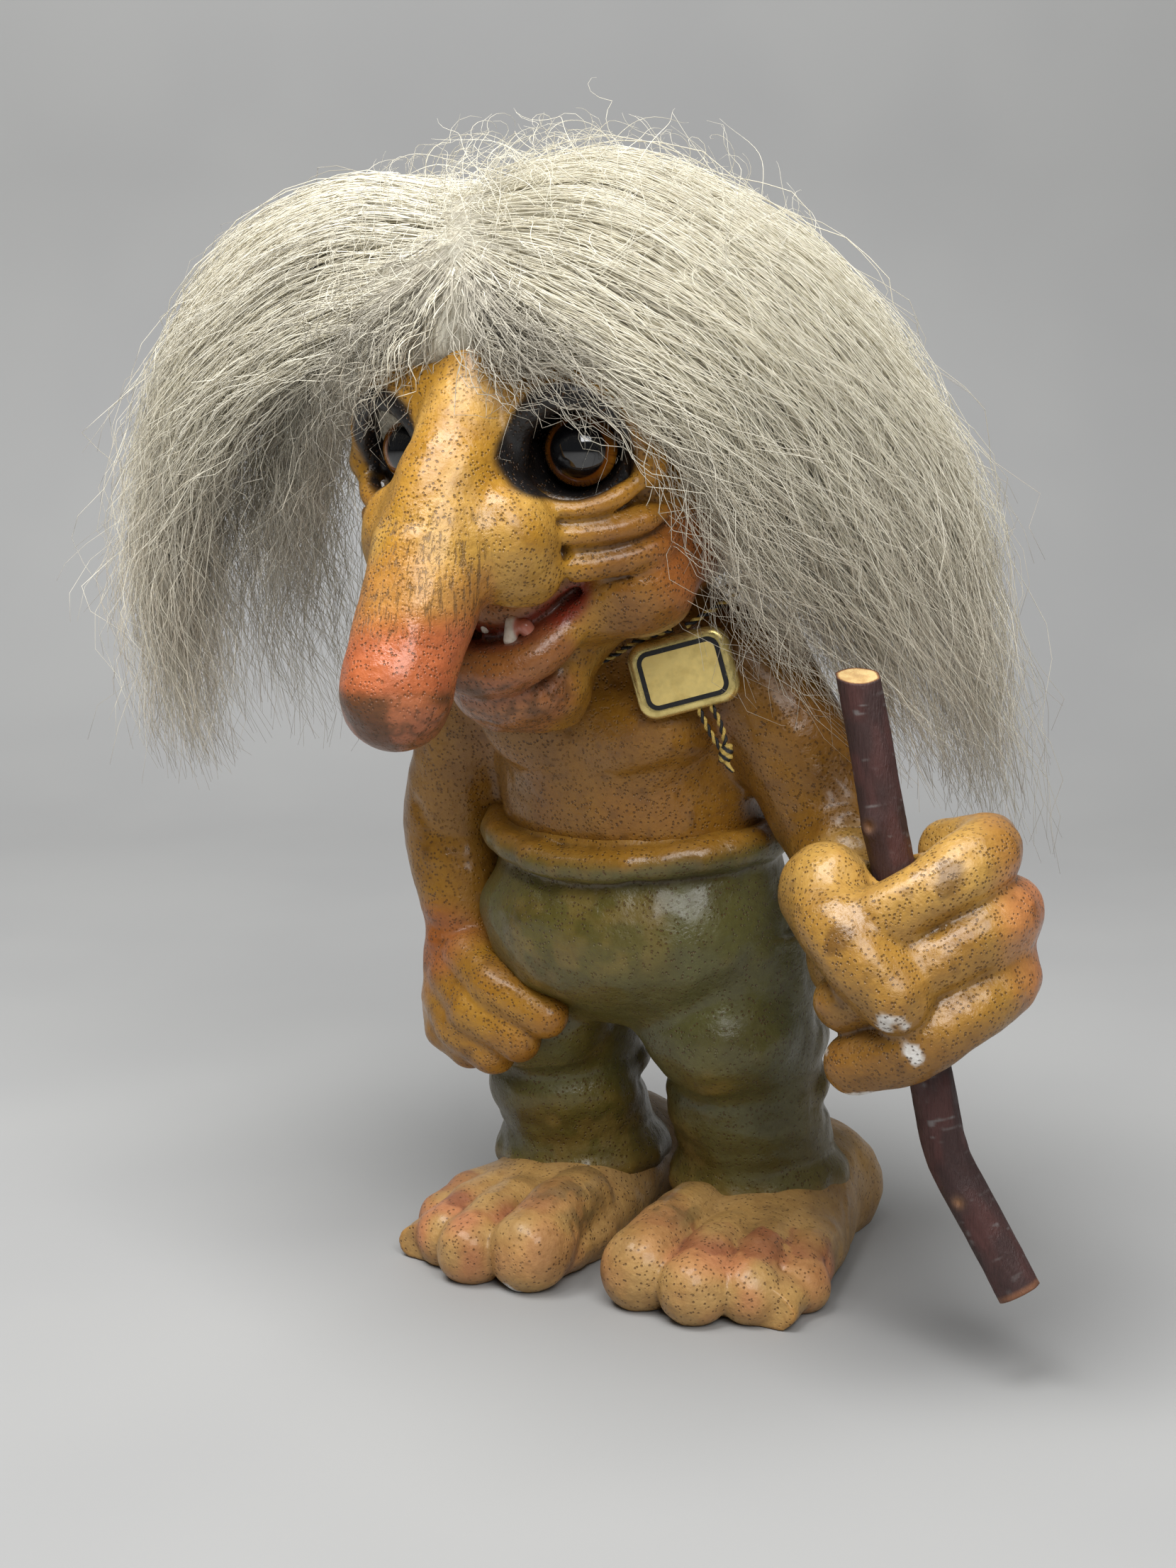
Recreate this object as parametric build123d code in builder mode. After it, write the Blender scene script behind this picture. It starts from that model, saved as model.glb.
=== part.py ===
from build123d import *
import os
from math import asin, cos, pi, radians, sin, sqrt, tan

# A hunched folk troll: a foam-filled latex figure with set-in glass eyes and a wig of long hair.
# It holds a twig staff in one fist, and a metal tag hangs from a cord round its neck.
# Millimetres, +Z up. The figure faces -Y and its own left is +X. It is laid out from the floor point
# midway between its ankles, and each finished piece is then set in the frame of the stand.

os.makedirs("parts", exist_ok=True)

# The floor point between the ankles, measured from the middle of the whole figure's box
stand_x = 2.506
stand_y = 34.658
stand = Location((stand_x, stand_y, 0))

# Clearances and walls
running_gap = 0.1  # staff in its bore
resting_gap = 0.3  # between pieces that lie on each other
seat_gap = 0.05  # between pieces that are glued in place
staff_relief = 0.6  # between the forearm and the staff
skin_wall = 3.0

# Heights of the body, from the floor
hem_height = 13.0
shin_height = 30.0
knee_height = 54.0
waist_height = 107.0

# Each level of the body from the one next to it: down from the waist, then up from it
roll_drop = 7.0
groove_drop = 7.0
hip_drop = 13.0
buttock_drop = 14.0
crotch_drop = 9.0
chest_rise = 20.0
shoulder_rise = 15.0
neck_rise = 22.0
roll_height = waist_height - roll_drop
groove_height = roll_height - groove_drop
hip_height = groove_height - hip_drop
buttock_height = hip_height - buttock_drop
crotch_height = buttock_height - crotch_drop
chest_height = waist_height + chest_rise
shoulder_height = chest_height + shoulder_rise
neck_height = shoulder_height + neck_rise

# Forward lean of the body, as the depth of each level's middle
hip_y = -8.0
roll_y = -9.0
waist_y = -11.0
chest_y = -14.6
shoulder_y = -17.0
neck_y = -27.0

# Half widths and half depths of the body
crotch_half_width = 17.0
crotch_half_depth = 16.0
hip_half_width = 38.5
hip_half_depth = 31.0
buttock_tuck = 5.5
groove_half_width = 33.5
groove_half_depth = 28.5
roll_half_width = 36.5
roll_half_depth = 31.0
waist_half_width = 32.0
waist_half_depth = 26.5
chest_half_width = 31.0
chest_half_depth = 25.0
shoulder_half_width = 34.0
shoulder_half_depth = 24.0
neck_half_width = 20.0
neck_half_depth = 17.0

# Legs, with the right foot set one short step ahead of the left one
leg_x = 23.5
thigh_y = -5.5
knee_y = -3.0
ankle_y = 10.0
shin_share = 0.6  # of the way back from the knee to the ankle
right_step = 3.0
thigh_half_width = 13.5
mid_thigh_half_width = 18.2
knee_half_width = 19.5
shin_half_width = 16.5
hem_half_width = 19.0
hem_roll = 6.0
hem_tuck = 1.5
leg_depth_excess = 1.5  # each level of a leg is this much deeper than it is wide

# Feet
left_heel_x = 28.0
right_heel_x = -19.0
heel_y = 46.0
toe_out = 3.0
foot_length = 85.0
foot_profile = (  # share of the length from the heel, half width, top
    (0.0, 7.75, 13.5),
    (0.1, 15.5, 24.3),
    (0.3, 16.5, 27.0),
    (0.6, 20.75, 21.0),
    (0.9, 23.0, 15.0),
    (1.0, 22.0, 13.0),
)
toe_radii = (9.2, 7.8, 7.2, 6.4)
toe_reach = (95.0, 97.0, 91.0, 80.0)
toe_offset = (-14.5, -0.5, 10.0, 18.0)
toe_sink = 1.0  # flat of each toe against the floor
toe_rise = 3.0
foot_middle = 0.35  # share of a foot's height at which it is widest

# Arms, shoulder to wrist
arm_start_x = 32.0
upper_arm_radius = 13.0
upper_arm_share = 0.45  # where the upper arm is fullest, from shoulder to elbow
shoulder_step = 0.4
shoulder_set = 1.0
elbow_radius = 12.5
forearm_radius = 11.5
forearm_share = 0.5
wrist_radius = 9.5
right_elbow = (-49.0, -11.0, 100.0)
right_wrist = (-43.0, -15.0, 73.0)
left_elbow = (52.0, -18.0, 109.0)
left_wrist = (68.0, -33.0, 92.0)

# Open hand on the right thigh
palm_centre = (-42.0, -18.0, 63.0)
palm_radii = (12.5, 9.5, 13.0)
finger_radius = 6.3
finger_taper = 0.8
finger_starts = ((-35.0, -24.0, 67.0), (-40.0, -22.5, 62.0), (-44.0, -20.0, 57.0), (-46.5, -17.0, 54.0))
finger_ends = ((-13.0, -29.0, 60.0), (-20.0, -29.0, 53.5), (-29.0, -27.0, 49.0), (-38.0, -23.0, 48.5))

# Staff: straight through the fist, then bent outwards
staff_radius = 4.7
staff_top = (67.0, -42.0, 143.0)
staff_bend = (88.0, -42.0, 46.5)
staff_foot = (104.5, -42.0, 20.0)
staff_bend_radius = 30.0
saw_lean = (0.3, -0.24, 0.0)  # slant of the sawn top

# Fist round the staff
fist_height = 87.0
finger_pitch = 14.0
fist_half_length = 23.0
fist_half_depth = 19.5
fist_finger_radius = 9.2
thumb_radius = 9.0
heel_radius = 16.0
heel_of_hand = (-4.0, 8.0, 2.0)
thumb_root = (-13.0, -2.0, 12.5)
thumb_end = (-8.0, -13.0, -3.0)
finger_reach = (3.0, 4.0, 3.5)
finger_tilt = 12.0
knuckle_direction = (0.875, 0.485, 0.0)
fist_bore_reach = 45.0

# Head: its middle sits ahead of and above the neck, and its points are given from there
skull_radius = 42.0
skull_forward = 10.0
skull_rise = 27.0
skull_y = neck_y - skull_forward
skull_height = neck_height + skull_rise
skull_blend = 4.0
cheek_drop = 25.0
jaw_drop = 19.0
chin_drop = 15.0
cheek_height = skull_height - cheek_drop
jaw_height = cheek_height - jaw_drop
chin_height = jaw_height - chin_drop
chin_forward = 20.0
chin_y = skull_y - chin_forward
chin_half_width = 11.0
chin_half_depth = 9.0
jaw_forward = 19.0
jaw_y = skull_y - jaw_forward
jaw_half_width = 21.0
jaw_half_depth = 16.0
cheek_forward = 8.0
cheek_y = skull_y - cheek_forward
cheek_half_width = 36.0
cheek_half_depth = 31.0
nose_root = (0.0, -37.0, 12.0)
nose_bridge = (0.0, -50.0, -9.0)
nose_middle = (0.0, -61.0, -29.0)
nose_tip = (0.0, -71.5, -48.5)
nose_root_radius = 7.5
nose_bridge_radius = 11.0
nose_middle_radius = 11.3
nose_tip_radius = 10.4
nose_tip_step = 0.4
nostril_radius = 9.0
nostril_centre = (12.0, -47.0, -22.0)
bag_radii = (13.0, 9.0, 6.0)
bag_centre = (25.0, -29.0, -18.5)
lip_radii = (15.0, 13.0, 8.0)
lip_centre = (0.0, -24.0, -50.0)
ear_radii = (6.0, 10.0, 17.0)
ear_centre = (42.0, 5.0, -7.0)
ear_flare = 14.0
mouth_arc_radius = 34.0
mouth_half_opening = 3.2
mouth_depth_factor = 3.0
mouth_drop = 40.0
mouth_forward = 29.0
mouth_corner_rise = 11.0
mouth_height = skull_height - mouth_drop
tooth_radius = 2.2
tooth_taper = 0.4
tooth_forward = 33.0
tooth_lean = 1.0
tooth_places = (4.0, -0.8)

# Glass eyes
eye_x = 20.0
eye_drop = 3.0
eye_turn = 12.0
eye_radius = 7.4
pupil_radius = 5.2
iris_thickness = 1.2
dome_sink = 2.0
socket_radius = 10.6
socket_depth = 7.0
lid_radius = 3.0

# Foam
head_foam_radius = 30.0
head_foam_back = 6.0
head_foam_rise = 4.0
seat_foam_drop = 12.0  # below the hips
chest_foam_rise = 2.0  # above the shoulders
seat_foam_half_width = 26.0
seat_foam_half_depth = 20.0
chest_foam_half_width = 22.0
chest_foam_half_depth = 16.0

# Wig: a hide cap on the skull, and the masses of hair that hang from it
hide_thickness = 1.8
hairline_front_rise = 15.0  # above the skull's middle
hairline_back_drop = 26.0  # below it
crown_radii = (53.0, 49.0, 39.0)
crown_centre = (-6.0, 0.0, 17.0)
left_fall = (
    ((26.0, -1.0, 26.0), 34.0, 13.0),
    ((47.0, 10.0, 6.0), 42.0, 13.0),
    ((57.0, 26.0, -23.0), 38.0, 11.0),
    ((64.0, 42.0, -51.0), 27.0, 9.0),
    ((67.0, 52.0, -85.0), 10.0, 5.0),
)
left_fall_wide = (0.35, 0.94, 0.0)
right_fall = (
    ((-28.0, 2.0, 26.0), 32.0, 17.0),
    ((-64.0, 3.0, 21.0), 32.0, 19.0),
    ((-90.8, 3.0, 1.0), 29.0, 18.0),
    ((-100.8, 4.0, -28.0), 25.0, 13.0),
    ((-103.8, 0.0, -52.0), 18.0, 9.0),
    ((-104.0, -6.0, -79.0), 8.0, 5.0),
)
right_fall_wide = (0.0, 1.0, 0.0)
back_fall = (
    ((0.0, 45.0, 27.0), 44.0, 13.0),
    ((0.0, 63.0, -1.0), 50.0, 13.0),
    ((0.0, 68.0, -31.0), 46.0, 11.0),
    ((0.0, 66.0, -63.0), 32.0, 8.0),
)
back_fall_wide = (1.0, 0.0, 0.0)

# Tag: a pillow-shaped metal case with a flat panel on its front
tag_drop = 0.5  # below the shoulders
tag_centre = (27.4, -41.0, shoulder_height - tag_drop)
tag_turn = 20.0
tag_roll = 15.5
tag_width = 22.0
tag_height = 16.5
tag_rim_radius = 1.7
rim_round_share = 0.97
tag_corner = 4.0
panel_width = 15.9
panel_height = 10.6
panel_corner = 1.6
panel_thickness = 0.3
border_width = 1.0

# Neck cord, and its doubled tail below the tag
cord_radius = 0.7
bend_share = 0.45  # of the shorter run at a corner, taken by the bend
neck_route = (
    (25.0, -41.9, 150.5),
    (18.5, -43.4, 148.8),
    (11.0, -42.2, 144.0),
    (1.5, -42.5, 140.3),
    (-10.0, -41.9, 140.5),
    (-22.0, -39.0, 144.5),
    (-32.5, -32.5, 152.0),
    (-34.0, -19.5, 158.5),
    (-24.5, -4.0, 158.0),
    (-8.5, 3.4, 154.5),
    (8.5, 3.4, 154.5),
    (24.0, -5.0, 158.0),
    (33.0, -18.0, 160.0),
    (36.0, -29.0, 159.0),
    (33.5, -37.0, 155.5),
    (27.8, -40.9, 151.3),
)
tail_starts = (1.0, 3.2)
tail_middles = (1.6, 6.0)
tail_end = 4.2
tail_closing = 0.1
tail_bow = 5.8
tail_length = 10.5
knot_radii = (1.6, 2.3, 1.4)


def oval_stack(stations):
    """A closed form through level ovals. Each station is (centre, half width, half depth)."""
    with BuildPart() as form:
        for (x, y, z), half_width, half_depth in stations:
            with BuildSketch(Plane.XY.offset(z)):
                with BuildLine():
                    for quarter in range(4):
                        EllipticalCenterArc((x, y), half_width, half_depth, 90 * quarter, arc_size=90)
                make_face()
        loft()
    return form.part


def limb(stations, wide):
    """A closed form through ovals square to its spine. Each station is (point, half width, half depth),
    and the half widths lie along the direction wide."""
    spine = [Vector(*point) for point, half_width, half_depth in stations]
    across = Vector(*wide)
    with BuildPart() as form:
        for index, (point, half_width, half_depth) in enumerate(stations):
            before = spine[max(index - 1, 0)]
            after = spine[min(index + 1, len(spine) - 1)]
            along = (after - before).normalized()
            side = across - along * across.dot(along)
            with BuildSketch(Plane(origin=point, x_dir=side, z_dir=along)):
                with BuildLine():
                    for quarter in range(4):
                        EllipticalCenterArc((0, 0), half_width, half_depth, 90 * quarter, arc_size=90)
                make_face()
        loft()
    return form.part


def capsule(start, end, start_radius, end_radius):
    """A rounded, tapering finger between two points, turned about the line that joins them."""
    spine = Vector(*end) - Vector(*start)
    length = spine.length
    slope = asin((start_radius - end_radius) / length)
    start_touch = (start_radius * sin(slope), start_radius * cos(slope))
    end_touch = (length + end_radius * sin(slope), end_radius * cos(slope))
    start_middle = (radians(180) + radians(90) - slope) / 2
    end_middle = (radians(90) - slope) / 2
    start_arc_point = (start_radius * cos(start_middle), start_radius * sin(start_middle))
    end_arc_point = (length + end_radius * cos(end_middle), end_radius * sin(end_middle))
    upright = abs(spine.Z) > abs(spine.X) + abs(spine.Y)
    reference = Vector(1, 0, 0) if upright else Vector(0, 0, 1)
    with BuildPart() as form:
        with BuildSketch(Plane(origin=start, x_dir=spine, z_dir=spine.cross(reference))):
            with BuildLine():
                ThreePointArc((-start_radius, 0), start_arc_point, start_touch)
                Line(start_touch, end_touch)
                ThreePointArc(end_touch, end_arc_point, (length + end_radius, 0))
                Line((length + end_radius, 0), (-start_radius, 0))
            make_face()
        revolve(axis=Axis(start, spine))
    return form.part


def egg(centre, radii, turn=(0, 0, 0)):
    """A ball drawn out to three half lengths, turned about its centre."""
    with BuildPart() as form:
        Sphere(1)
        scale(by=radii)
    return form.part.moved(Location(centre, turn))


def cord_tube(points, radius):
    """A round cord on straight runs, joined by arcs as large as the runs allow."""
    corners = [Vector(*point) for point in points]
    bends = []
    for before, here, after in zip(corners, corners[1:], corners[2:]):
        half_turn = radians((here - before).get_angle(after - here) / 2)
        shorter = min((here - before).length, (after - here).length)
        bends.append(bend_share * shorter / tan(half_turn))
    with BuildPart() as tube:
        with BuildLine() as route:
            FilletPolyline(*corners, radius=bends)
        with BuildSketch(Plane(origin=corners[0], z_dir=corners[1] - corners[0])):
            Circle(radius)
        sweep()
    length = sum(edge.length for edge in route.edges())
    fill = tube.part.volume / (pi * radius**2 * length)
    print("cord bends", [round(bend, 1) for bend in bends])
    print("cord length", round(length, 1), "and its volume over section times length", round(fill, 4))
    return tube.part


def write(piece, name):
    """Set a finished piece in the frame of the stand, label it and write it."""
    placed = piece.moved(stand)
    placed.label = name
    export_step(placed, f"parts/{name}.step")


def sided(point, sign):
    """A point given for the figure's left, on the side that sign says."""
    x, y, z = point
    return (sign * x, y, z)


def between(first, second, share):
    """The value at a share of the way from the first to the second."""
    return first + (second - first) * share


def on_head(point):
    """A point given from the middle of the skull, in the figure's frame."""
    x, y, z = point
    return (x, skull_y + y, skull_height + z)


sides = (("left", 1), ("right", -1))

# Main forms of the body, before its pieces are cut from each other
seat_stations = [
    ((0, hip_y, crotch_height), crotch_half_width, crotch_half_depth),
    ((0, hip_y, buttock_height), hip_half_width - buttock_tuck, hip_half_depth - buttock_tuck),
    ((0, hip_y, hip_height), hip_half_width, hip_half_depth),
    ((0, hip_y, groove_height), groove_half_width, groove_half_depth),
    ((0, roll_y, roll_height), roll_half_width, roll_half_depth),
    ((0, waist_y, waist_height), waist_half_width, waist_half_depth),
]
torso_stations = [
    ((0, waist_y, waist_height), waist_half_width, waist_half_depth),
    ((0, chest_y, chest_height), chest_half_width, chest_half_depth),
    ((0, shoulder_y, shoulder_height), shoulder_half_width, shoulder_half_depth),
    ((0, neck_y, neck_height), neck_half_width, neck_half_depth),
]
seat_form = oval_stack(seat_stations)
torso_form = oval_stack(torso_stations)

# Foam filling of the body, from the seat up into the chest
body_foam_stations = [
    ((0, hip_y, hip_height - seat_foam_drop), seat_foam_half_width, seat_foam_half_depth),
    ((0, waist_y, waist_height), waist_half_width - skin_wall, waist_half_depth - skin_wall),
    ((0, shoulder_y, shoulder_height + chest_foam_rise), chest_foam_half_width, chest_foam_half_depth),
]
body_foam_form = oval_stack(body_foam_stations)

# Head: skull, jaw, nose, nostrils, eye bags, lids, lower lip and ears in one moulding
jaw_form = oval_stack(
    [
        ((0, chin_y, chin_height), chin_half_width, chin_half_depth),
        ((0, jaw_y, jaw_height), jaw_half_width, jaw_half_depth),
        ((0, cheek_y, cheek_height), cheek_half_width, cheek_half_depth),
        ((0, skull_y, skull_height), skull_radius - skull_blend, skull_radius - skull_blend),
    ]
)
nose_form = limb(
    [
        (on_head(nose_root), nose_root_radius, nose_root_radius),
        (on_head(nose_bridge), nose_bridge_radius, nose_bridge_radius),
        (on_head(nose_middle), nose_middle_radius, nose_middle_radius),
        (on_head(nose_tip), nose_tip_radius - nose_tip_step, nose_tip_radius - nose_tip_step),
    ],
    (1, 0, 0),
)


def eye_plane(sign):
    """The plane of an eye, on the skull and facing a little outwards."""
    depth = sqrt(skull_radius**2 - eye_x**2 - eye_drop**2)
    facing = (sign * sin(radians(eye_turn)), -cos(radians(eye_turn)), 0)
    centre = on_head((sign * eye_x, -depth, -eye_drop))
    return Plane(origin=centre, x_dir=(0, 0, 1), z_dir=facing)


def socket(plane):
    """The round hole that an eye is glued into."""
    with BuildPart() as hole:
        with BuildSketch(plane.offset(-socket_depth)):
            Circle(socket_radius)
        extrude(amount=3 * socket_depth)
    return hole.part


def lids(plane):
    """Both lids of an eye, as one ring round its socket."""
    with BuildPart(plane) as ring:
        Torus(socket_radius + lid_radius / 2, lid_radius)
    return ring.part


with BuildPart() as mouth:
    with Locations((0, 0, mouth_arc_radius)):
        Torus(mouth_arc_radius, mouth_half_opening, rotation=(90, 0, 0))
    split(bisect_by=Plane.XY.offset(mouth_corner_rise), keep=Keep.BOTTOM)
    scale(by=(1, mouth_depth_factor, 1))
mouth_slot = mouth.part.moved(Location(on_head((0, -mouth_forward, -mouth_drop))))

face_forms = [jaw_form, nose_form, egg(on_head(lip_centre), lip_radii)]
sockets = []
for sign in (1, -1):
    plane = eye_plane(sign)
    face_forms.append(egg(on_head(sided(nostril_centre, sign)), (nostril_radius, nostril_radius, nostril_radius)))
    face_forms.append(egg(on_head(sided(bag_centre, sign)), bag_radii))
    face_forms.append(egg(on_head(sided(ear_centre, sign)), ear_radii, (0, sign * ear_flare, 0)))
    face_forms.append(lids(plane))
    sockets.append(socket(plane))

with BuildPart() as head_mould:
    with Locations(on_head((0, 0, 0))):
        Sphere(skull_radius)
    add(face_forms)
    with Locations(on_head(nose_tip)):
        Sphere(nose_tip_radius)
    add([mouth_slot, *sockets], mode=Mode.SUBTRACT)
head_form = head_mould.part

with BuildPart() as head:
    add(head_form)
    with Locations(on_head((0, head_foam_back, head_foam_rise))):
        Sphere(head_foam_radius + seat_gap, mode=Mode.SUBTRACT)
write(head.part, "head")

with BuildPart() as head_foam:
    with Locations(on_head((0, head_foam_back, head_foam_rise))):
        Sphere(head_foam_radius)
write(head_foam.part, "head_foam")

# A pair of teeth that stand in the mouth, cut to its walls
with BuildPart() as teeth:
    for place in tooth_places:
        root = (place, skull_y - tooth_forward, mouth_height + 2 * mouth_half_opening)
        point = (place, skull_y - tooth_forward - tooth_lean, mouth_height - mouth_half_opening / 2)
        add(capsule(root, point, tooth_radius, tooth_radius - tooth_taper))
    add(head_form, mode=Mode.SUBTRACT)
write(teeth.part, "teeth")

# Eyes: on the floor of each socket an iris ring and a pupil, under a clear dome
for side, sign in sides:
    floor = eye_plane(sign).offset(-socket_depth)
    with BuildPart() as eye_iris:
        with BuildSketch(floor):
            Circle(eye_radius)
            Circle(pupil_radius, mode=Mode.SUBTRACT)
        extrude(amount=iris_thickness)
    write(eye_iris.part, f"eye_iris_{side}")

    with BuildPart() as eye_pupil:
        with BuildSketch(floor):
            Circle(pupil_radius - seat_gap)
        extrude(amount=iris_thickness)
    write(eye_pupil.part, f"eye_pupil_{side}")

    with BuildPart(floor.offset(iris_thickness + dome_sink)) as eye_glass:
        Sphere(eye_radius)
        split(bisect_by=floor.offset(iris_thickness), keep=Keep.TOP)
    write(eye_glass.part, f"eye_glass_{side}")

# Torso and trousers seat: skins round one foam filling
with BuildPart() as torso:
    add(torso_form)
    add([head_form, body_foam_form], mode=Mode.SUBTRACT)
write(torso.part, "torso")

with BuildPart() as trousers_seat:
    add(seat_form)
    add(body_foam_form, mode=Mode.SUBTRACT)
write(trousers_seat.part, "trousers_seat")

with BuildPart() as body_foam:
    add(body_foam_form)
write(body_foam.part, "body_foam")


# Feet and trouser legs
def foot_form(sign, heel_x, step):
    """A bare foot, heel to toe roots, with its row of toes and a flat sole."""
    forward = Vector(sign * sin(radians(toe_out)), -cos(radians(toe_out)), 0)
    outward = Vector(sign * cos(radians(toe_out)), sin(radians(toe_out)), 0)
    heel = Vector(heel_x, heel_y - step, 0)
    levels = []
    for share, half_width, top in foot_profile:
        middle = heel + forward * (share * foot_length)
        levels.append(((middle.X, middle.Y, foot_middle * top), half_width, (1 - foot_middle) * top))
    toes = []
    for radius, reach, offset in zip(toe_radii, toe_reach, toe_offset):
        tip = heel + forward * (reach - radius) + outward * offset + Vector(0, 0, radius - toe_sink)
        root = tip - forward * (2 * radius) + Vector(0, 0, toe_rise)
        toes.append(capsule(tuple(root), tuple(tip), radius, radius))
    with BuildPart() as form:
        add(limb(levels, tuple(outward)))
        add(toes)
        split(bisect_by=Plane.XY, keep=Keep.TOP)
    return form.part


leg_forms = []
for side, sign in sides:
    step = right_step if side == "right" else 0.0
    foot_solid = foot_form(sign, right_heel_x if side == "right" else left_heel_x, step)
    with BuildPart() as foot:
        add(foot_solid)
    write(foot.part, f"foot_{side}")

    x = sign * leg_x
    leg_levels = (
        (x, thigh_y, hip_height, thigh_half_width),
        (x, between(thigh_y, knee_y, 0.5), between(hip_height, knee_height, 0.5), mid_thigh_half_width),
        (x, knee_y, knee_height, knee_half_width),
        (x, between(knee_y, ankle_y - step, shin_share), shin_height, shin_half_width),
        (x, ankle_y - step, hem_height + hem_roll, hem_half_width),
        (x, ankle_y - step, hem_height, hem_half_width - hem_tuck),
    )
    leg_solid = oval_stack([((x, y, z), width, width + leg_depth_excess) for x, y, z, width in leg_levels])
    with BuildPart() as trouser_leg:
        add(leg_solid)
        for neighbour in (seat_form, foot_solid):
            add(neighbour, mode=Mode.SUBTRACT)
    write(trouser_leg.part, f"trouser_leg_{side}")
    leg_forms.append(trouser_leg.part)


# Arms
def arm_form(sign, elbow, wrist):
    """An arm from inside the shoulder to the wrist."""
    shoulder = (sign * arm_start_x, shoulder_y - shoulder_set, shoulder_height - shoulder_set)
    upper = tuple(between(a, b, upper_arm_share) for a, b in zip(shoulder, elbow))
    fore = tuple(between(a, b, forearm_share) for a, b in zip(elbow, wrist))
    shaft = limb(
        [
            (shoulder, upper_arm_radius, upper_arm_radius),
            (upper, upper_arm_radius, upper_arm_radius),
            (elbow, elbow_radius, elbow_radius),
            (fore, forearm_radius, forearm_radius),
            (wrist, wrist_radius, wrist_radius),
        ],
        (0, 1, 0),
    )
    with BuildPart() as form:
        with Locations(shoulder):
            Sphere(upper_arm_radius + shoulder_step)
        add(shaft)
    return form.part


with BuildPart() as arm_right:
    add(arm_form(-1, right_elbow, right_wrist))
    for neighbour in (torso_form, seat_form, *leg_forms):
        add(neighbour, mode=Mode.SUBTRACT)
write(arm_right.part, "arm_right")

# Open hand: a palm and four fingers, laid on the thigh
with BuildPart() as hand_right:
    add(egg(palm_centre, palm_radii))
    for finger_start, finger_end in zip(finger_starts, finger_ends):
        add(capsule(finger_start, finger_end, finger_radius, finger_radius - finger_taper))
    for neighbour in (arm_right.part, seat_form, *leg_forms):
        add(neighbour, mode=Mode.SUBTRACT)
write(hand_right.part, "hand_right")

# Staff and the fist that grips it
staff_axis = (Vector(*staff_top) - Vector(*staff_bend)).normalized()
above_staff = tuple(Vector(*staff_top) + staff_axis * staff_radius)
fist_centre = Vector(*staff_bend) + staff_axis * ((fist_height - staff_bend[2]) / staff_axis.Z)
grip = Plane(origin=fist_centre, x_dir=knuckle_direction, z_dir=staff_axis)

with BuildPart() as staff:
    with BuildLine():
        FilletPolyline(above_staff, staff_bend, staff_foot, radius=staff_bend_radius)
    with BuildSketch(Plane(origin=above_staff, z_dir=-staff_axis)):
        Circle(staff_radius)
    sweep()
    split(bisect_by=Plane(origin=staff_top, z_dir=staff_axis + Vector(*saw_lean)), keep=Keep.BOTTOM)
write(staff.part, "staff")


def in_grip(across, back, up):
    """A point of the fist, from its own directions to the figure's."""
    return tuple(grip.from_local_coords(Vector(across, back, up)))


finger_rolls = []
for level, reach in zip((finger_pitch, 0, -finger_pitch), finger_reach):
    roll_radii = (fist_half_length, fist_half_depth, fist_finger_radius)
    roll = egg((reach, 0, level), roll_radii, (0, -finger_tilt, 0))
    finger_rolls.append(roll.moved(grip.location))

with BuildPart() as fist_left:
    add(finger_rolls)
    add(capsule(in_grip(*thumb_root), in_grip(*thumb_end), thumb_radius, thumb_radius - finger_taper))
    add(egg(in_grip(*heel_of_hand), (heel_radius, heel_radius, heel_radius)))
    with BuildSketch(grip):
        Circle(staff_radius + running_gap)
    extrude(amount=fist_bore_reach, both=True, mode=Mode.SUBTRACT)
write(fist_left.part, "fist_left")

with BuildPart() as arm_left:
    add(arm_form(1, left_elbow, left_wrist))
    for neighbour in (torso_form, seat_form, fist_left.part):
        add(neighbour, mode=Mode.SUBTRACT)
    with BuildSketch(grip):
        Circle(staff_radius + staff_relief)
    extrude(amount=fist_bore_reach, both=True, mode=Mode.SUBTRACT)
write(arm_left.part, "arm_left")

# Wig: the hide cap, then the crown of hair, then the falls that hang from it
hairline_slope = (hairline_front_rise + hairline_back_drop) / (2 * skull_radius)
hairline_start = on_head((0, -skull_radius, hairline_front_rise))
hairline = Plane(origin=hairline_start, z_dir=(0, hairline_slope, 1))
hide_radius = skull_radius + seat_gap + hide_thickness

with BuildPart() as wig_hide:
    with Locations(on_head((0, 0, 0))):
        Sphere(hide_radius)
        Sphere(skull_radius + seat_gap, mode=Mode.SUBTRACT)
    split(bisect_by=hairline, keep=Keep.TOP)
    add(head_form, mode=Mode.SUBTRACT)
write(wig_hide.part, "wig_hide")

with BuildPart() as scalp:
    with Locations(on_head((0, 0, 0))):
        Sphere(hide_radius + resting_gap)
    add(head_form)

crown_form = egg(on_head(crown_centre), crown_radii)
with BuildPart() as hair_crown:
    add(crown_form)
    split(bisect_by=hairline, keep=Keep.TOP)
    add(scalp.part, mode=Mode.SUBTRACT)
write(hair_crown.part, "hair_crown")


def fall_form(stations, wide):
    """A hanging mass of hair, from stations given on the head."""
    return limb([(on_head(point), half_width, half_depth) for point, half_width, half_depth in stations], wide)


back_form = fall_form(back_fall, back_fall_wide)
falls = (
    ("hair_back", back_form, [crown_form]),
    ("hair_left", fall_form(left_fall, left_fall_wide), [crown_form, back_form, arm_left.part]),
    ("hair_right", fall_form(right_fall, right_fall_wide), [crown_form, back_form]),
)
for name, hanging_form, covers in falls:
    with BuildPart() as fall:
        add(hanging_form)
        add([*covers, scalp.part], mode=Mode.SUBTRACT)
    write(fall.part, name)

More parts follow.
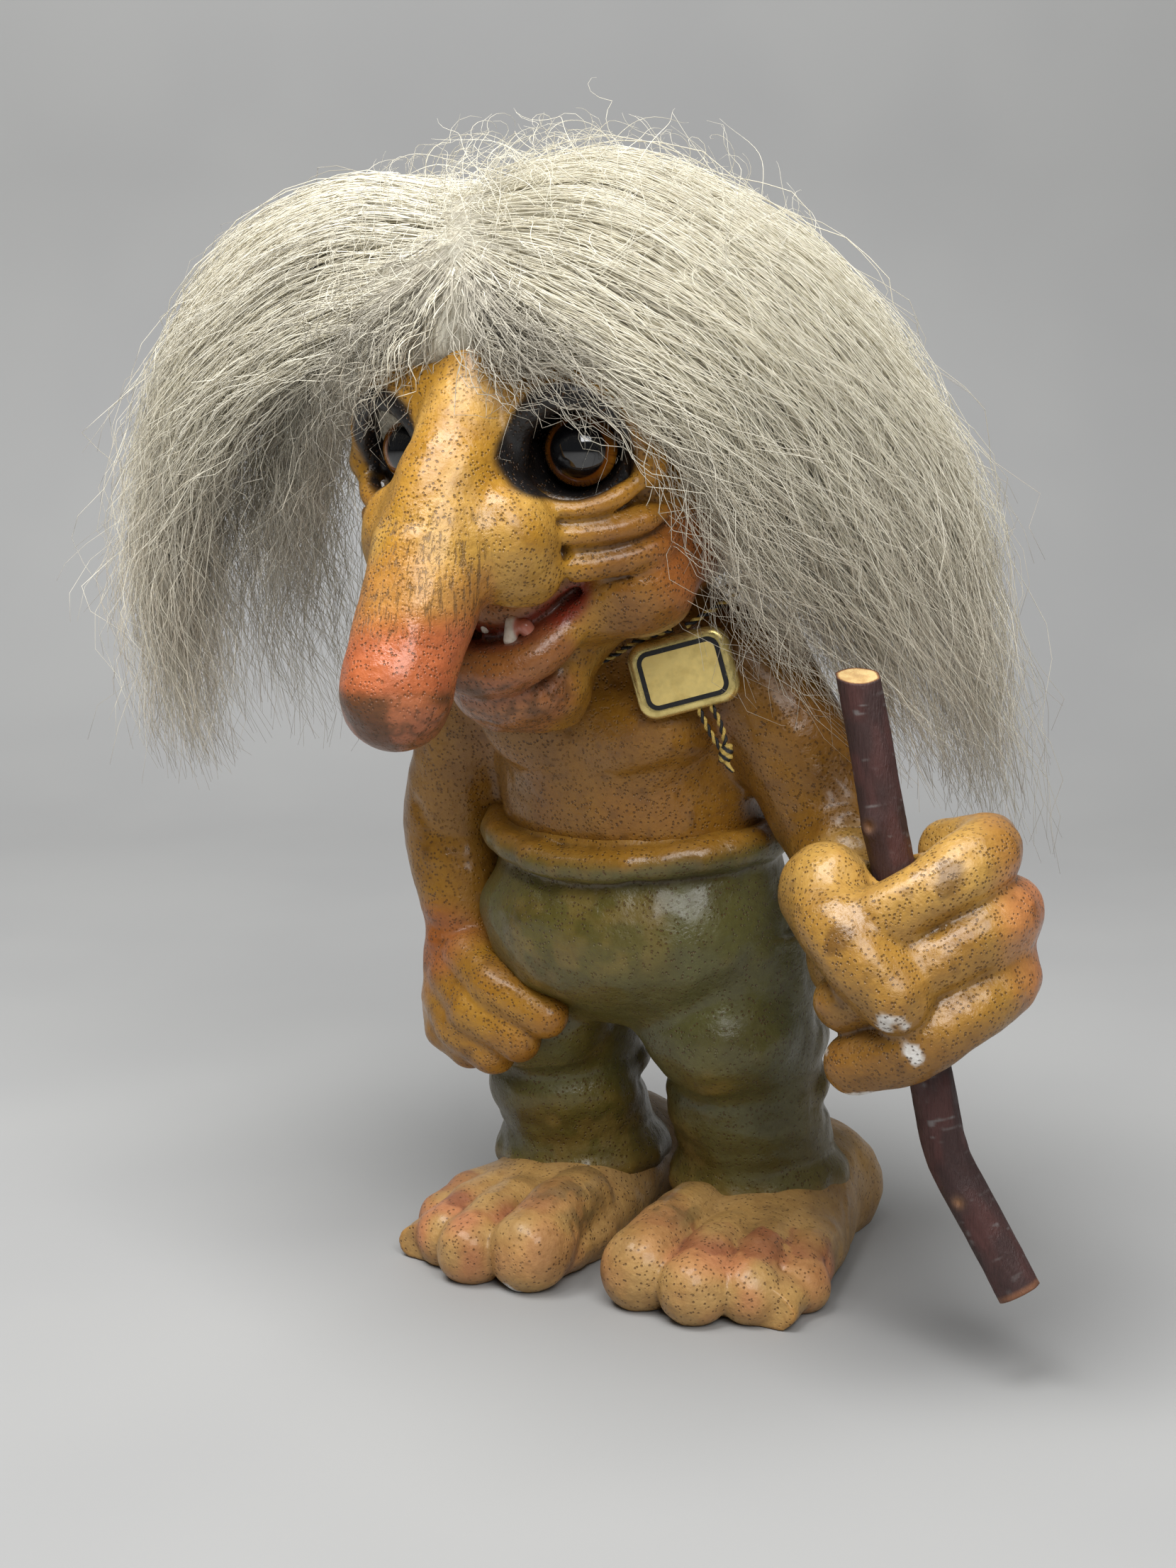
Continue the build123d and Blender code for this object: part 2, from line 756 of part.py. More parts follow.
# Tag: a case with a full round rim, a border line and a bare panel set on its front
turn = radians(tag_turn)
level_across = Vector(cos(turn), sin(turn), 0)
tag_across = level_across * cos(radians(tag_roll)) + Vector(0, 0, sin(radians(tag_roll)))
tag_middle = Plane(origin=tag_centre, x_dir=tag_across, z_dir=(sin(turn), -cos(turn), 0))
tag_front = tag_middle.offset(tag_rim_radius)

with BuildPart() as tag_case:
    with BuildSketch(tag_middle.offset(-tag_rim_radius)):
        RectangleRounded(tag_width, tag_height, tag_corner)
    extrude(amount=2 * tag_rim_radius)
    rims = tag_case.faces().sort_by(Axis(tag_centre, tag_middle.z_dir))
    fillet(rims[0].edges() + rims[-1].edges(), rim_round_share * tag_rim_radius)
write(tag_case.part, "tag_case")

with BuildPart() as tag_border:
    with BuildSketch(tag_front):
        RectangleRounded(panel_width, panel_height, panel_corner)
        offset(amount=border_width)
        RectangleRounded(panel_width, panel_height, panel_corner, mode=Mode.SUBTRACT)
    extrude(amount=panel_thickness)
write(tag_border.part, "tag_border")

with BuildPart() as tag_panel:
    with BuildSketch(tag_front):
        RectangleRounded(panel_width - seat_gap, panel_height - seat_gap, panel_corner)
    extrude(amount=panel_thickness)
write(tag_panel.part, "tag_panel")


# Cord: the loop round the neck, and the doubled tail below the tag with its knot
with BuildPart() as neck_cord:
    add(cord_tube(neck_route, cord_radius))
write(neck_cord.part, "neck_cord")


def on_tag(across, up):
    """A point in the middle of the tag's thickness."""
    return tuple(tag_middle.from_local_coords(Vector(across, up, 0)))


below_rim = -tag_height / 2
with BuildPart() as cord_knot:
    knot = egg((tail_end, below_rim - tail_length, 0), knot_radii)
    add(knot.moved(tag_middle.location))
write(cord_knot.part, "cord_knot")

with BuildPart() as cord_tail:
    for start, middle in zip(tail_starts, tail_middles):
        strand_end = tail_end + (start - middle) * tail_closing
        add(cord_tube(
            (
                on_tag(start, below_rim + tag_rim_radius),
                on_tag(middle, below_rim - tail_bow),
                on_tag(strand_end, below_rim - tail_length),
            ),
            cord_radius,
        ))
    add([tag_case.part, cord_knot.part], mode=Mode.SUBTRACT)
write(cord_tail.part, "cord_tail")
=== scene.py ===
from math import cos, pi, radians, sin

import bpy
import numpy as np
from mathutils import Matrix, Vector


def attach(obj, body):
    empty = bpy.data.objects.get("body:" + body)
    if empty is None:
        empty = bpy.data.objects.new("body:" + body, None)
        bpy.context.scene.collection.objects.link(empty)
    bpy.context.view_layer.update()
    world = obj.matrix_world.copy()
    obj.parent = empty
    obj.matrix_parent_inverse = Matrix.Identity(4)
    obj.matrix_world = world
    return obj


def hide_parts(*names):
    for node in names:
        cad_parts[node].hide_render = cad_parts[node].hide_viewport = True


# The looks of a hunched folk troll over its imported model: a varnished latex skin with painted zones,
# glass eyes, a wig of long pale hair, a twig staff and a metal tag on a twisted cord.
# Forms are laid out in the figure's own millimetres, from the floor point between its ankles.
# The figure faces -Y and its own left is +X.

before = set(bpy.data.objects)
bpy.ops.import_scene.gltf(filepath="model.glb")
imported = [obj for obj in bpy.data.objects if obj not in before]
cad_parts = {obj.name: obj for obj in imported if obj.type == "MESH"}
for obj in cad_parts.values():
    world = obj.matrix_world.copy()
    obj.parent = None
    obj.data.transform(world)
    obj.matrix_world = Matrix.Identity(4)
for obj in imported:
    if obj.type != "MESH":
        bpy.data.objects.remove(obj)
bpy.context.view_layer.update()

MILLIMETRE = 0.001
STAND = np.array((2.506, 34.658, 0.0))  # the floor point between the ankles, in the frame
FAR = 14.0  # clay value well away from any form
SIDES = (("left", 1), ("right", -1))
CLOUD_VALUES = 4096  # random values that a cloud draws on, a power of two
CLOUD_PRIMES = (73856093, 19349663, 83492791)  # they scatter neighbouring cells over those values

# Paint, as linear colours
OCHRE = (0.42, 0.21, 0.022)
PALE_OCHRE = (0.60, 0.36, 0.09)
DEEP_OCHRE = (0.24, 0.105, 0.012)
BROWN = (0.09, 0.038, 0.009)
BLUSH = (0.44, 0.095, 0.032)
LIP = (0.25, 0.085, 0.03)
BLOOD = (0.20, 0.025, 0.012)
SOOT = (0.012, 0.011, 0.011)
OLIVE = (0.115, 0.094, 0.018)
MOSS = (0.095, 0.095, 0.032)
WORN_OLIVE = (0.23, 0.155, 0.038)
FLAKE = (0.27, 0.095, 0.040)
CHALK = (0.80, 0.78, 0.74)
FOOT_TAN = (0.44, 0.255, 0.080)


def placed(points):
    """Figure millimetres to frame metres."""
    return (np.asarray(points, float) + STAND) * MILLIMETRE


def fade(values, full, none):
    """1 where values are at full, 0 where they are at none, and a smooth ramp between."""
    share = np.clip((values - none) / (full - none), 0, 1)
    return share * share * (3 - 2 * share)


def flow(points, count):
    """A smooth run of count rows through the given rows, which it passes through."""
    rows = np.asarray(points, float)
    padded = np.vstack([2 * rows[0] - rows[1], rows, 2 * rows[-1] - rows[-2]])
    places = np.linspace(0, len(rows) - 1, count)
    start = np.minimum(places.astype(int), len(rows) - 2)
    t = (places - start)[:, None]
    a, b, c, d = (padded[start + k] for k in range(4))
    return 0.5 * (2 * b + (c - a) * t + (2 * a - 5 * b + 4 * c - d) * t**2 + (3 * b - a - 3 * c + d) * t**3)


def unit(vectors):
    """Vectors of length 1 in the same directions."""
    return vectors / np.maximum(np.linalg.norm(vectors, axis=-1, keepdims=True), 1e-9)


def distances(line):
    """How far along a line each of its points lies."""
    return np.concatenate([[0], np.cumsum(np.linalg.norm(np.diff(line, axis=0), axis=1))])


def spaced(line, count):
    """The same line with count points at an even step, and their distances along it."""
    far = distances(line)
    places = np.linspace(0, far[-1], count)
    return np.stack([np.interp(places, far, line[:, k]) for k in range(3)], 1), places


def tube_faces(rows, sides):
    """The quads of a tube of so many rings, which have so many points each and follow one another."""
    row = np.arange(rows - 1)[:, None] * sides
    here = np.arange(sides)
    ahead = (here + 1) % sides
    corners = np.broadcast_arrays(row + here, row + ahead, row + sides + ahead, row + sides + here)
    return np.stack(corners, -1).reshape(-1, 4)


def cloud(points, size, seed):
    """Smooth random values from -1 to 1 at each point, in patches of about the given size."""
    table = np.random.default_rng(seed).random(CLOUD_VALUES)
    cells = np.asarray(points, float) / size + 1000.0
    corner = np.floor(cells).astype(np.int64)
    t = cells - corner
    t = t * t * (3 - 2 * t)
    total = np.zeros(len(cells))
    for step in np.ndindex(2, 2, 2):
        at = corner + np.array(step)
        key = np.bitwise_xor.reduce(at * np.array(CLOUD_PRIMES), axis=1)
        share = np.prod(np.where(np.array(step) == 1, t, 1 - t), axis=1)
        total += share * table[key & (CLOUD_VALUES - 1)]
    return 2 * total - 1


class Form:
    """A shape by its signed distance, with the box that it lies in."""

    def __init__(self, low, high, distance):
        self.low = np.asarray(low, float)
        self.high = np.asarray(high, float)
        self.distance = distance


def ball(centre, radii, axes=None):
    """An ellipsoid. The rows of axes are the directions of its radii."""
    centre = np.asarray(centre, float)
    radii = np.asarray(radii, float)
    rows = np.eye(3) if axes is None else np.asarray(axes, float)

    def distance(x, y, z):
        out = [x - centre[0], y - centre[1], z - centre[2]]
        inner = 0.0
        slope = 0.0
        for row, radius in zip(rows, radii):
            part = row[0] * out[0] + row[1] * out[1] + row[2] * out[2]
            inner = inner + (part / radius) ** 2
            slope = slope + (part / radius**2) ** 2
        inner = np.sqrt(inner)
        return inner * (inner - 1) / np.sqrt(slope + 1e-9)

    return Form(centre - radii.max(), centre + radii.max(), distance)


def rod(points, radii):
    """A chain of tapering round rods. One radius serves for all points."""
    points = np.asarray(points, float)
    radii = np.broadcast_to(np.asarray(radii, float), len(points))

    def distance(x, y, z):
        nearest = None
        for a, b, first, last in zip(points, points[1:], radii, radii[1:]):
            run = b - a
            along = (x - a[0]) * run[0] + (y - a[1]) * run[1] + (z - a[2]) * run[2]
            share = np.clip(along / (run @ run), 0, 1)
            gap = np.sqrt(
                (x - a[0] - share * run[0]) ** 2
                + (y - a[1] - share * run[1]) ** 2
                + (z - a[2] - share * run[2]) ** 2
            )
            gap = gap - (first + (last - first) * share)
            nearest = gap if nearest is None else np.minimum(nearest, gap)
        return nearest

    reach = radii.max()
    return Form(points.min(0) - reach, points.max(0) + reach, distance)


def stack(levels, along=2):
    """A form through ovals. Each level is (centre, half size, half size) in the two other directions."""
    rows = flow([(*centre, first, second) for centre, first, second in levels], 12 * len(levels))
    rows = rows[np.argsort(rows[:, along])]
    across = [k for k in range(3) if k != along]
    reach = rows[:, 3:].max()
    low = rows[:, :3].min(0) - reach
    high = rows[:, :3].max(0) + reach

    def distance(*spot):
        at = spot[along]
        wide = np.interp(at, rows[:, along], rows[:, 3])
        deep = np.interp(at, rows[:, along], rows[:, 4])
        u = spot[across[0]] - np.interp(at, rows[:, along], rows[:, across[0]])
        v = spot[across[1]] - np.interp(at, rows[:, along], rows[:, across[1]])
        side = (np.sqrt((u / wide) ** 2 + (v / deep) ** 2) - 1) * np.minimum(wide, deep)
        ends = np.maximum(at - rows[-1, along], rows[0, along] - at)
        return np.maximum(side, ends)

    return Form(low, high, distance)


class Clay:
    """A block of signed distances that forms are joined to, cut from and creased into."""

    def __init__(self, low, high, step):
        self.step = step
        self.axes = [np.arange(a, b + step, step, dtype=np.float32) for a, b in zip(low, high)]
        self.values = np.full([len(axis) for axis in self.axes], FAR, np.float32)

    def window(self, form, margin):
        """The part of the block near a form: its slices, and the coordinates there."""
        cuts = []
        for axis, low, high in zip(self.axes, form.low - margin, form.high + margin):
            first = int(np.searchsorted(axis, low))
            cuts.append(slice(first, max(int(np.searchsorted(axis, high)), first + 1)))
        spots = np.meshgrid(*(axis[cut] for axis, cut in zip(self.axes, cuts)), indexing="ij", sparse=True)
        return tuple(cuts), spots

    def blend_in(self, form, blend, sign):
        """Join a form where sign is 1 or cut it away where sign is -1, with a fillet of about the blend."""
        cut, spots = self.window(form, blend + 4 * self.step)
        here = sign * self.values[cut]
        there = form.distance(*spots)
        near = np.maximum(blend - np.abs(here - there), 0) / blend
        self.values[cut] = sign * (np.minimum(here, there) - near**2 * blend / 4)

    def join(self, form, blend):
        self.blend_in(form, blend, 1)

    def cut(self, form, blend):
        self.blend_in(form, blend, -1)

    def crease(self, points, width, depth):
        """A groove of a width and depth along a line, or a ridge where the depth is negative."""
        line = rod(flow(points, 6 * len(points)), 0.0)
        cut, spots = self.window(line, 3 * width)
        self.values[cut] += depth * np.exp(-((line.distance(*spots) / width) ** 2))

    def roughen(self, size, height, seed):
        """Low lumps all over, of about the given size and height."""
        near = np.abs(self.values) < height + 3 * self.step
        index = np.nonzero(near)
        points = np.stack([axis[k] for axis, k in zip(self.axes, index)], 1)
        self.values[near] += height * cloud(points, size, seed)

    def surface(self):
        """The clay's skin, as points and quads."""
        values = self.values
        inside = values < 0
        shape = np.array(values.shape) - 1
        count = np.zeros(shape, np.uint8)
        for i, j, k in np.ndindex(2, 2, 2):
            count += inside[i:i + shape[0], j:j + shape[1], k:k + shape[2]]
        cells = np.nonzero((count > 0) & (count < 8))
        number = np.full(shape, -1, np.int64)
        number[cells] = np.arange(len(cells[0]))
        corner = np.stack(cells, 1)
        total = np.zeros((len(corner), 3))
        crossings = np.zeros(len(corner))
        for axis in range(3):
            for first, second in np.ndindex(2, 2):
                start = np.insert(np.array((first, second)), axis, 0)
                end = np.insert(np.array((first, second)), axis, 1)
                a = values[tuple((corner + start).T)]
                b = values[tuple((corner + end).T)]
                crossed = (a < 0) != (b < 0)
                share = np.where(crossed, a / np.where(crossed, a - b, 1), 0)
                total += np.where(crossed[:, None], start + share[:, None] * (end - start), 0)
                crossings += crossed
        low = np.array([axis[0] for axis in self.axes])
        points = low + self.step * (corner + total / crossings[:, None])
        quads = []
        for axis in range(3):
            one, two = (axis + 1) % 3, (axis + 2) % 3
            here = [slice(1, -1)] * 3
            here[axis] = slice(0, -1)
            ahead = list(here)
            ahead[axis] = slice(1, None)
            leaving = inside[tuple(here)] & ~inside[tuple(ahead)]
            entering = ~inside[tuple(here)] & inside[tuple(ahead)]
            for change, order in ((leaving, (0, 1, 2, 3)), (entering, (3, 2, 1, 0))):
                at = np.stack(np.nonzero(change), 1)
                at[:, one] += 1
                at[:, two] += 1
                corners = []
                for back_one, back_two in ((0, 0), (1, 0), (1, 1), (0, 1)):
                    cell = at.copy()
                    cell[:, one] -= back_one
                    cell[:, two] -= back_two
                    corners.append(number[tuple(cell.T)])
                quads.append(np.stack([corners[k] for k in order], 1))
        return points, np.vstack(quads)


def normals_of(points, quads):
    """The outward direction at each point of a skin."""
    sides = np.cross(points[quads[:, 2]] - points[quads[:, 0]], points[quads[:, 3]] - points[quads[:, 1]])
    total = np.zeros_like(points)
    for axis in range(3):
        for corner in range(4):
            total[:, axis] += np.bincount(quads[:, corner], sides[:, axis], len(points))
    return unit(total)


def smoothed(points, quads, rounds):
    """The points after each has moved to the middle of its neighbours, some rounds over."""
    first = np.concatenate([quads[:, k] for k in range(4)])
    second = np.concatenate([quads[:, (k + 1) % 4] for k in range(4)])
    ends = np.concatenate([first, second])
    others = np.concatenate([second, first])
    count = np.maximum(np.bincount(ends, minlength=len(points)), 1)
    for _ in range(rounds):
        moved = [np.bincount(ends, points[others, axis], len(points)) / count for axis in range(3)]
        points = np.stack(moved, 1)
    return points


def hollows(points, quads):
    """How far each point lies below the skin around it, in millimetres: above 0 in a hollow."""
    around = smoothed(points, quads, 8)
    return np.einsum("ij,ij->i", around - points, normals_of(points, quads))


class Coat:
    """Paint on a skin, one colour for each of its points."""

    def __init__(self, points, colour):
        self.points = points
        self.colours = np.tile(np.array(colour, float), (len(points), 1))

    def brush(self, colour, cover):
        cover = np.clip(cover, 0, 1)[:, None]
        self.colours = self.colours * (1 - cover) + np.array(colour) * cover

    def gap(self, form):
        """The distance of each point from a form."""
        return form.distance(self.points[:, 0], self.points[:, 1], self.points[:, 2])

    def spot(self, form, full, none):
        """A cover that is whole within full of a form and gone at none."""
        return fade(self.gap(form), full, none)


def link(name, mesh, material, body, nodes=()):
    """Put a mesh in the scene as a piece that rides on a body and stands for CAD nodes."""
    piece = bpy.data.objects.new(name, mesh)
    bpy.context.scene.collection.objects.link(piece)
    mesh.materials.append(material)
    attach(piece, body)
    if nodes:
        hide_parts(*nodes)
    return piece


def mesh_of(name, points, faces, values=None):
    """A smooth mesh from figure points and equal-sided faces, with named values for its points."""
    points = placed(points)
    faces = np.asarray(faces, np.int64)
    mesh = bpy.data.meshes.new(name)
    mesh.vertices.add(len(points))
    mesh.vertices.foreach_set("co", points.astype(np.float32).ravel())
    mesh.loops.add(faces.size)
    mesh.loops.foreach_set("vertex_index", faces.astype(np.int32).ravel())
    mesh.polygons.add(len(faces))
    mesh.polygons.foreach_set("loop_start", np.arange(0, faces.size, faces.shape[1], dtype=np.int32))
    mesh.update(calc_edges=True)
    mesh.polygons.foreach_set("use_smooth", np.ones(len(faces), bool))
    for key, value in (values or {}).items():
        value = np.asarray(value, np.float32)
        if value.ndim == 2:
            layer = mesh.attributes.new(key, "FLOAT_COLOR", "POINT")
            opaque = np.hstack([value, np.ones((len(value), 1), np.float32)])
            layer.data.foreach_set("color", opaque.ravel())
        else:
            layer = mesh.attributes.new(key, "FLOAT", "POINT")
            layer.data.foreach_set("value", value)
    return mesh


class Nodes:
    """A material's node tree, with short calls for the nodes it is made of."""

    def __init__(self, name):
        self.material = bpy.data.materials.new(name)
        self.material.use_nodes = True
        self.tree = self.material.node_tree
        self.shader = self.tree.nodes["Principled BSDF"]
        self.place = self.add("ShaderNodeTexCoord").outputs["Object"]

    def feed(self, socket, value):
        if isinstance(value, bpy.types.NodeSocket):
            self.tree.links.new(value, socket)
        else:
            socket.default_value = value

    def add(self, kind, inputs=None, **settings):
        """A node with its settings, its inputs fed with sockets or values."""
        node = self.tree.nodes.new(kind)
        for key, value in settings.items():
            setattr(node, key, value)
        for key, value in (inputs or {}).items():
            self.feed(node.inputs[key], value)
        return node

    def stretched(self, scale, turn=(0, 0, 0)):
        """Places scaled along each axis and turned by angles in degrees."""
        angles = [radians(angle) for angle in turn]
        inputs = {"Vector": self.place, "Scale": scale, "Rotation": angles}
        return self.add("ShaderNodeMapping", inputs).outputs["Vector"]

    def noise(self, scale, detail=3.0, rough=0.55, place=None):
        inputs = {"Vector": place or self.place, "Scale": scale, "Detail": detail, "Roughness": rough}
        return self.add("ShaderNodeTexNoise", inputs).outputs["Fac"]

    def cells(self, scale):
        return self.add("ShaderNodeTexVoronoi", {"Vector": self.place, "Scale": scale})

    def read(self, name, output="Color"):
        """A value that the mesh holds for its points."""
        return self.add("ShaderNodeAttribute", attribute_name=name).outputs[output]

    def ramp(self, value, low, high, start=0.0, end=1.0):
        """The value carried from low..high to start..end, and held there."""
        inputs = {"Value": value, "From Min": low, "From Max": high, "To Min": start, "To Max": end}
        return self.add("ShaderNodeMapRange", inputs, interpolation_type="SMOOTHSTEP").outputs["Result"]

    def reckon(self, operation, first, second):
        """Two values multiplied, subtracted and so on."""
        return self.add("ShaderNodeMath", {0: first, 1: second}, operation=operation).outputs["Value"]

    def mix(self, share, first, second, kind="MIX"):
        """Two colours mixed, each a socket or three values."""
        inputs = {"Factor": share}
        for socket, colour in ((6, first), (7, second)):
            inputs[socket] = colour if isinstance(colour, bpy.types.NodeSocket) else (*colour, 1.0)
        return self.add("ShaderNodeMix", inputs, data_type="RGBA", blend_type=kind).outputs[2]

    def bump(self, height, strength, reach):
        inputs = {"Height": height, "Strength": strength, "Distance": reach}
        return self.add("ShaderNodeBump", inputs).outputs["Normal"]

    def set(self, **values):
        """Inputs of the shader, by their names with underscores for spaces."""
        for key, value in values.items():
            self.feed(self.shader.inputs[key.replace("_", " ")], value)


def latex(name, gloss, pits, streaks=False):
    """Painted and varnished latex: paint from the mesh, speckled with pits, with painted shade in hollows
    and a painted highlight on ridges.
    """
    nodes = Nodes(name)
    paint = nodes.read("paint")
    hollow = nodes.read("hollow", "Fac")
    patches = nodes.noise(90.0, 4.0, 0.6)
    grain = nodes.noise(700.0, 3.0, 0.6)
    colour = nodes.mix(nodes.ramp(patches, 0.42, 0.72, 0.0, 0.30), paint, DEEP_OCHRE, "MULTIPLY")
    colour = nodes.mix(nodes.ramp(grain, 0.35, 0.75, 0.0, 0.30), colour, (0.55, 0.42, 0.3), "MULTIPLY")
    spots = nodes.cells(1350.0)
    chosen = nodes.ramp(nodes.reckon("MULTIPLY", spots.outputs["Color"], 1.0), 0.62 - pits, 0.66 - pits)
    hole = nodes.ramp(spots.outputs["Distance"], 0.46, 0.20)
    speck = nodes.reckon("MULTIPLY", chosen, hole)
    where = nodes.ramp(nodes.noise(55.0, 2.0), 0.30, 0.55, 0.25, 1.0)
    speck = nodes.reckon("MULTIPLY", speck, where)
    colour = nodes.mix(nodes.reckon("MULTIPLY", speck, 0.72), colour, BROWN)
    # Painted shade: the deeper a hollow, the nearer its colour comes to a dark brown.
    colour = nodes.mix(nodes.ramp(hollow, 0.08, 0.75, 0.0, 0.72), colour, (0.045, 0.018, 0.006))
    # Painted highlight: ridges are lightened towards pale ochre.
    colour = nodes.mix(nodes.ramp(hollow, -0.10, -0.7, 0.0, 0.35), colour, PALE_OCHRE, "SOFT_LIGHT")
    relief = nodes.reckon("SUBTRACT", nodes.noise(260.0, 4.0, 0.6), nodes.reckon("MULTIPLY", speck, 0.9))
    if streaks:
        fine = nodes.noise(1.0, 4.0, 0.7, nodes.stretched((1500.0, 900.0, 130.0), (25, 0, 0)))
        drawn = nodes.read("streak", "Fac")
        worn = nodes.reckon("MULTIPLY", nodes.ramp(fine, 0.53, 0.64), drawn)
        colour = nodes.mix(nodes.reckon("MULTIPLY", worn, 0.75), colour, (0.16, 0.085, 0.03))
        relief = nodes.reckon("SUBTRACT", relief, nodes.reckon("MULTIPLY", worn, 0.5))
    rough = nodes.ramp(nodes.noise(120.0, 3.0), 0.35, 0.7, gloss, gloss + 0.22)
    nodes.set(Base_Color=colour, Roughness=rough, Normal=nodes.bump(relief, 0.55, 0.0012))
    nodes.set(Specular_IOR_Level=0.38, Coat_Weight=0.24, Coat_Roughness=0.16)
    return nodes.material


skin_latex = latex("skin_latex", 0.30, 0.14)
face_latex = latex("face_latex", 0.30, 0.16, streaks=True)
trouser_latex = latex("trouser_latex", 0.32, 0.0)
foot_latex = latex("foot_latex", 0.48, 0.0)

# Head
JAW_LEVELS = (
    ((0, -57, 132), 10, 8),
    ((0, -56, 147), 17, 15.5),
    ((0, -45, 166), 35.5, 31),
    ((0, -37, 191), 38, 38),
)
NOSE = ((0, -74, 203), (0, -87, 182), (0, -98, 162), (0, -108.5, 142.5))
NOSE_RADII = (8.2, 11.4, 11.7, 9.8)
MOUTH = (
    (-21, -66, 163),
    (-12, -73.5, 154.5),
    (-3, -77, 150.5),
    (6, -77, 150.5),
    (13, -73.5, 154),
    (21, -66, 163),
)
LOWER_LIP = (
    (-19, -66.5, 157),
    (-11, -74.5, 146.8),
    (0, -77.2, 143.6),
    (11, -74.5, 146.8),
    (19, -66.5, 157),
)
CHIN_CREASES = (
    ((-11, -77, 139.6), (-4, -81, 137.4), (4, -81, 137.4), (11, -77, 139.6)),
    ((-9, -76, 135), (0, -79, 133), (9, -76, 135)),
)

# The left half of the face, which the right half mirrors
EYE_CENTRE = (19.2, -70.1, 188.0)  # middle of the dome
EYE_FACING = np.array((sin(radians(12)), -cos(radians(12)), 0.0))  # direction of the socket
SOCKET_RADII = (9.8, 11.6, 9.6)
EAR_CENTRE = (43, -31, 184)
EAR_RADII = (5.5, 10, 17)
BROW = ((7, -78, 197), (20, -75.5, 202), (33, -66, 197))
UPPER_LID = (
    (8.5, -79.5, 187),
    (12.5, -81.5, 194.5),
    (20.5, -80.5, 198.6),
    (28.5, -75.5, 196),
    (33.5, -67.5, 186.5),
)
LOWER_LID = (
    (8.8, -80, 182),
    (13, -81.5, 178.2),
    (20.5, -80, 176.3),
    (27.5, -75, 177.8),
    (33.5, -67.5, 183.5),
)
EYE_CORNER = ((33, -67.5, 185), (29.5, -59, 185))
EYE_BAG = ((12.5, -80.5, 173.6), (20, -78.5, 171.6), (28, -72, 172.6), (34, -64, 176))
CHEEK_POUCH = ((15, -77.5, 167.4), (21, -75.5, 165.6), (28.5, -69.5, 166.8), (34, -62, 170))
CHEEK_LINE = ((26.5, -63, 167), (25, -62, 160), (19, -64.5, 154.5))
FACE_CREASES = (  # line, width and depth
    (((14, -80, 175.2), (21, -81, 174), (29, -75, 175), (35, -66, 178.5)), 1.0, 0.9),
    (((15, -80, 170), (22, -79, 168.6), (30, -72, 169.6), (35, -63, 173)), 1.0, 1.3),
    (((18, -76, 162.6), (24, -73, 161.8), (31, -67, 164)), 1.1, 1.0),
    (((9, -82, 178), (15, -82, 174.5), (19.5, -79, 168.5), (17.5, -78, 161), (9, -81, 155)), 1.5, 1.6),
    (((20, -68, 164), (24, -66, 168)), 1.6, 1.6),
)


def sided(points, sign):
    """Points given for the figure's left, on the side that sign says."""
    return [(sign * x, y, z) for x, y, z in points]


def ear_form(sign):
    x, y, z = EAR_CENTRE
    return ball((sign * x, y, z), EAR_RADII)


def head_clay():
    """Skull, jaw, drooping nose, lids, bags, lips and ears in one moulding."""
    clay = Clay((-54, -124, 122), (54, 10, 236), step=0.8)
    clay.join(ball((0, -37, 191), (42, 42, 42)), 1.0)
    clay.join(stack(JAW_LEVELS), 8.0)
    clay.join(ball((0, -63, 138.5), (14.5, 12.5, 8.5)), 5.0)
    clay.join(ball((0, -63, 158), (19, 14, 9)), 6.0)
    clay.join(rod(flow(NOSE, 14), flow([(r,) for r in NOSE_RADII], 14)[:, 0]), 7.0)
    clay.join(ball((0, -108.0, 142.5), (10.0, 9.8, 11.0)), 3.0)
    for _, sign in SIDES:
        eye = np.array(EYE_CENTRE) * (sign, 1, 1)
        facing = EYE_FACING * (sign, 1, 1)
        clay.join(ball((sign * 10.5, -85.5, 170.5), (10.8, 10.5, 12)), 4.0)
        clay.join(ball((sign * 13, -81, 164.5), (7, 7.5, 7)), 3.5)
        clay.join(ball((sign * 25.5, -58, 160.5), (11.5, 12.5, 10)), 6.0)
        clay.join(rod(sided(CHEEK_LINE, sign), (5.2, 5.6, 4.0)), 4.0)
        clay.join(rod(flow(sided(BROW, sign), 9), 5.2), 5.0)
        socket_axes = np.array((np.cross(facing, (0, 0, 1)), facing, (0, 0, 1)))
        clay.cut(ball(eye + facing * 6.0, SOCKET_RADII, socket_axes), 1.6)
        clay.join(rod(flow(sided(UPPER_LID, sign), 16), 2.9), 2.0)
        clay.join(rod(flow(sided(LOWER_LID, sign), 16), 2.0), 1.8)
        clay.join(rod(sided(EYE_CORNER, sign), 3.8), 2.0)
        clay.join(rod(flow(sided(EYE_BAG, sign), 14), (1.8, *[3.2] * 11, 2.6, 1.8)), 1.6)
        clay.join(rod(flow(sided(CHEEK_POUCH, sign), 14), (2.0, *[3.5] * 11, 2.8, 1.8)), 1.6)
        for line, width, depth in FACE_CREASES:
            clay.crease(sided(line, sign), width, depth)
        clay.join(ear_form(sign), 4.0)
    clay.cut(rod(flow(MOUTH, 22), 1.7 + np.sin(np.linspace(0, pi, 22))), 1.0)
    behind = [(x, y + 6, z) for x, y, z in MOUTH]
    clay.cut(rod(flow(behind, 22), 2.3 + 1.2 * np.sin(np.linspace(0, pi, 22))), 1.0)
    clay.join(rod(flow(LOWER_LIP, 18), 3.6 + 1.6 * np.sin(np.linspace(0, pi, 18))), 3.0)
    for line, depth in zip(CHIN_CREASES, (1.0, 0.7)):
        clay.crease(line, 1.0, depth)
    clay.roughen(9.0, 0.55, seed=3)
    clay.roughen(3.5, 0.22, seed=4)
    return clay


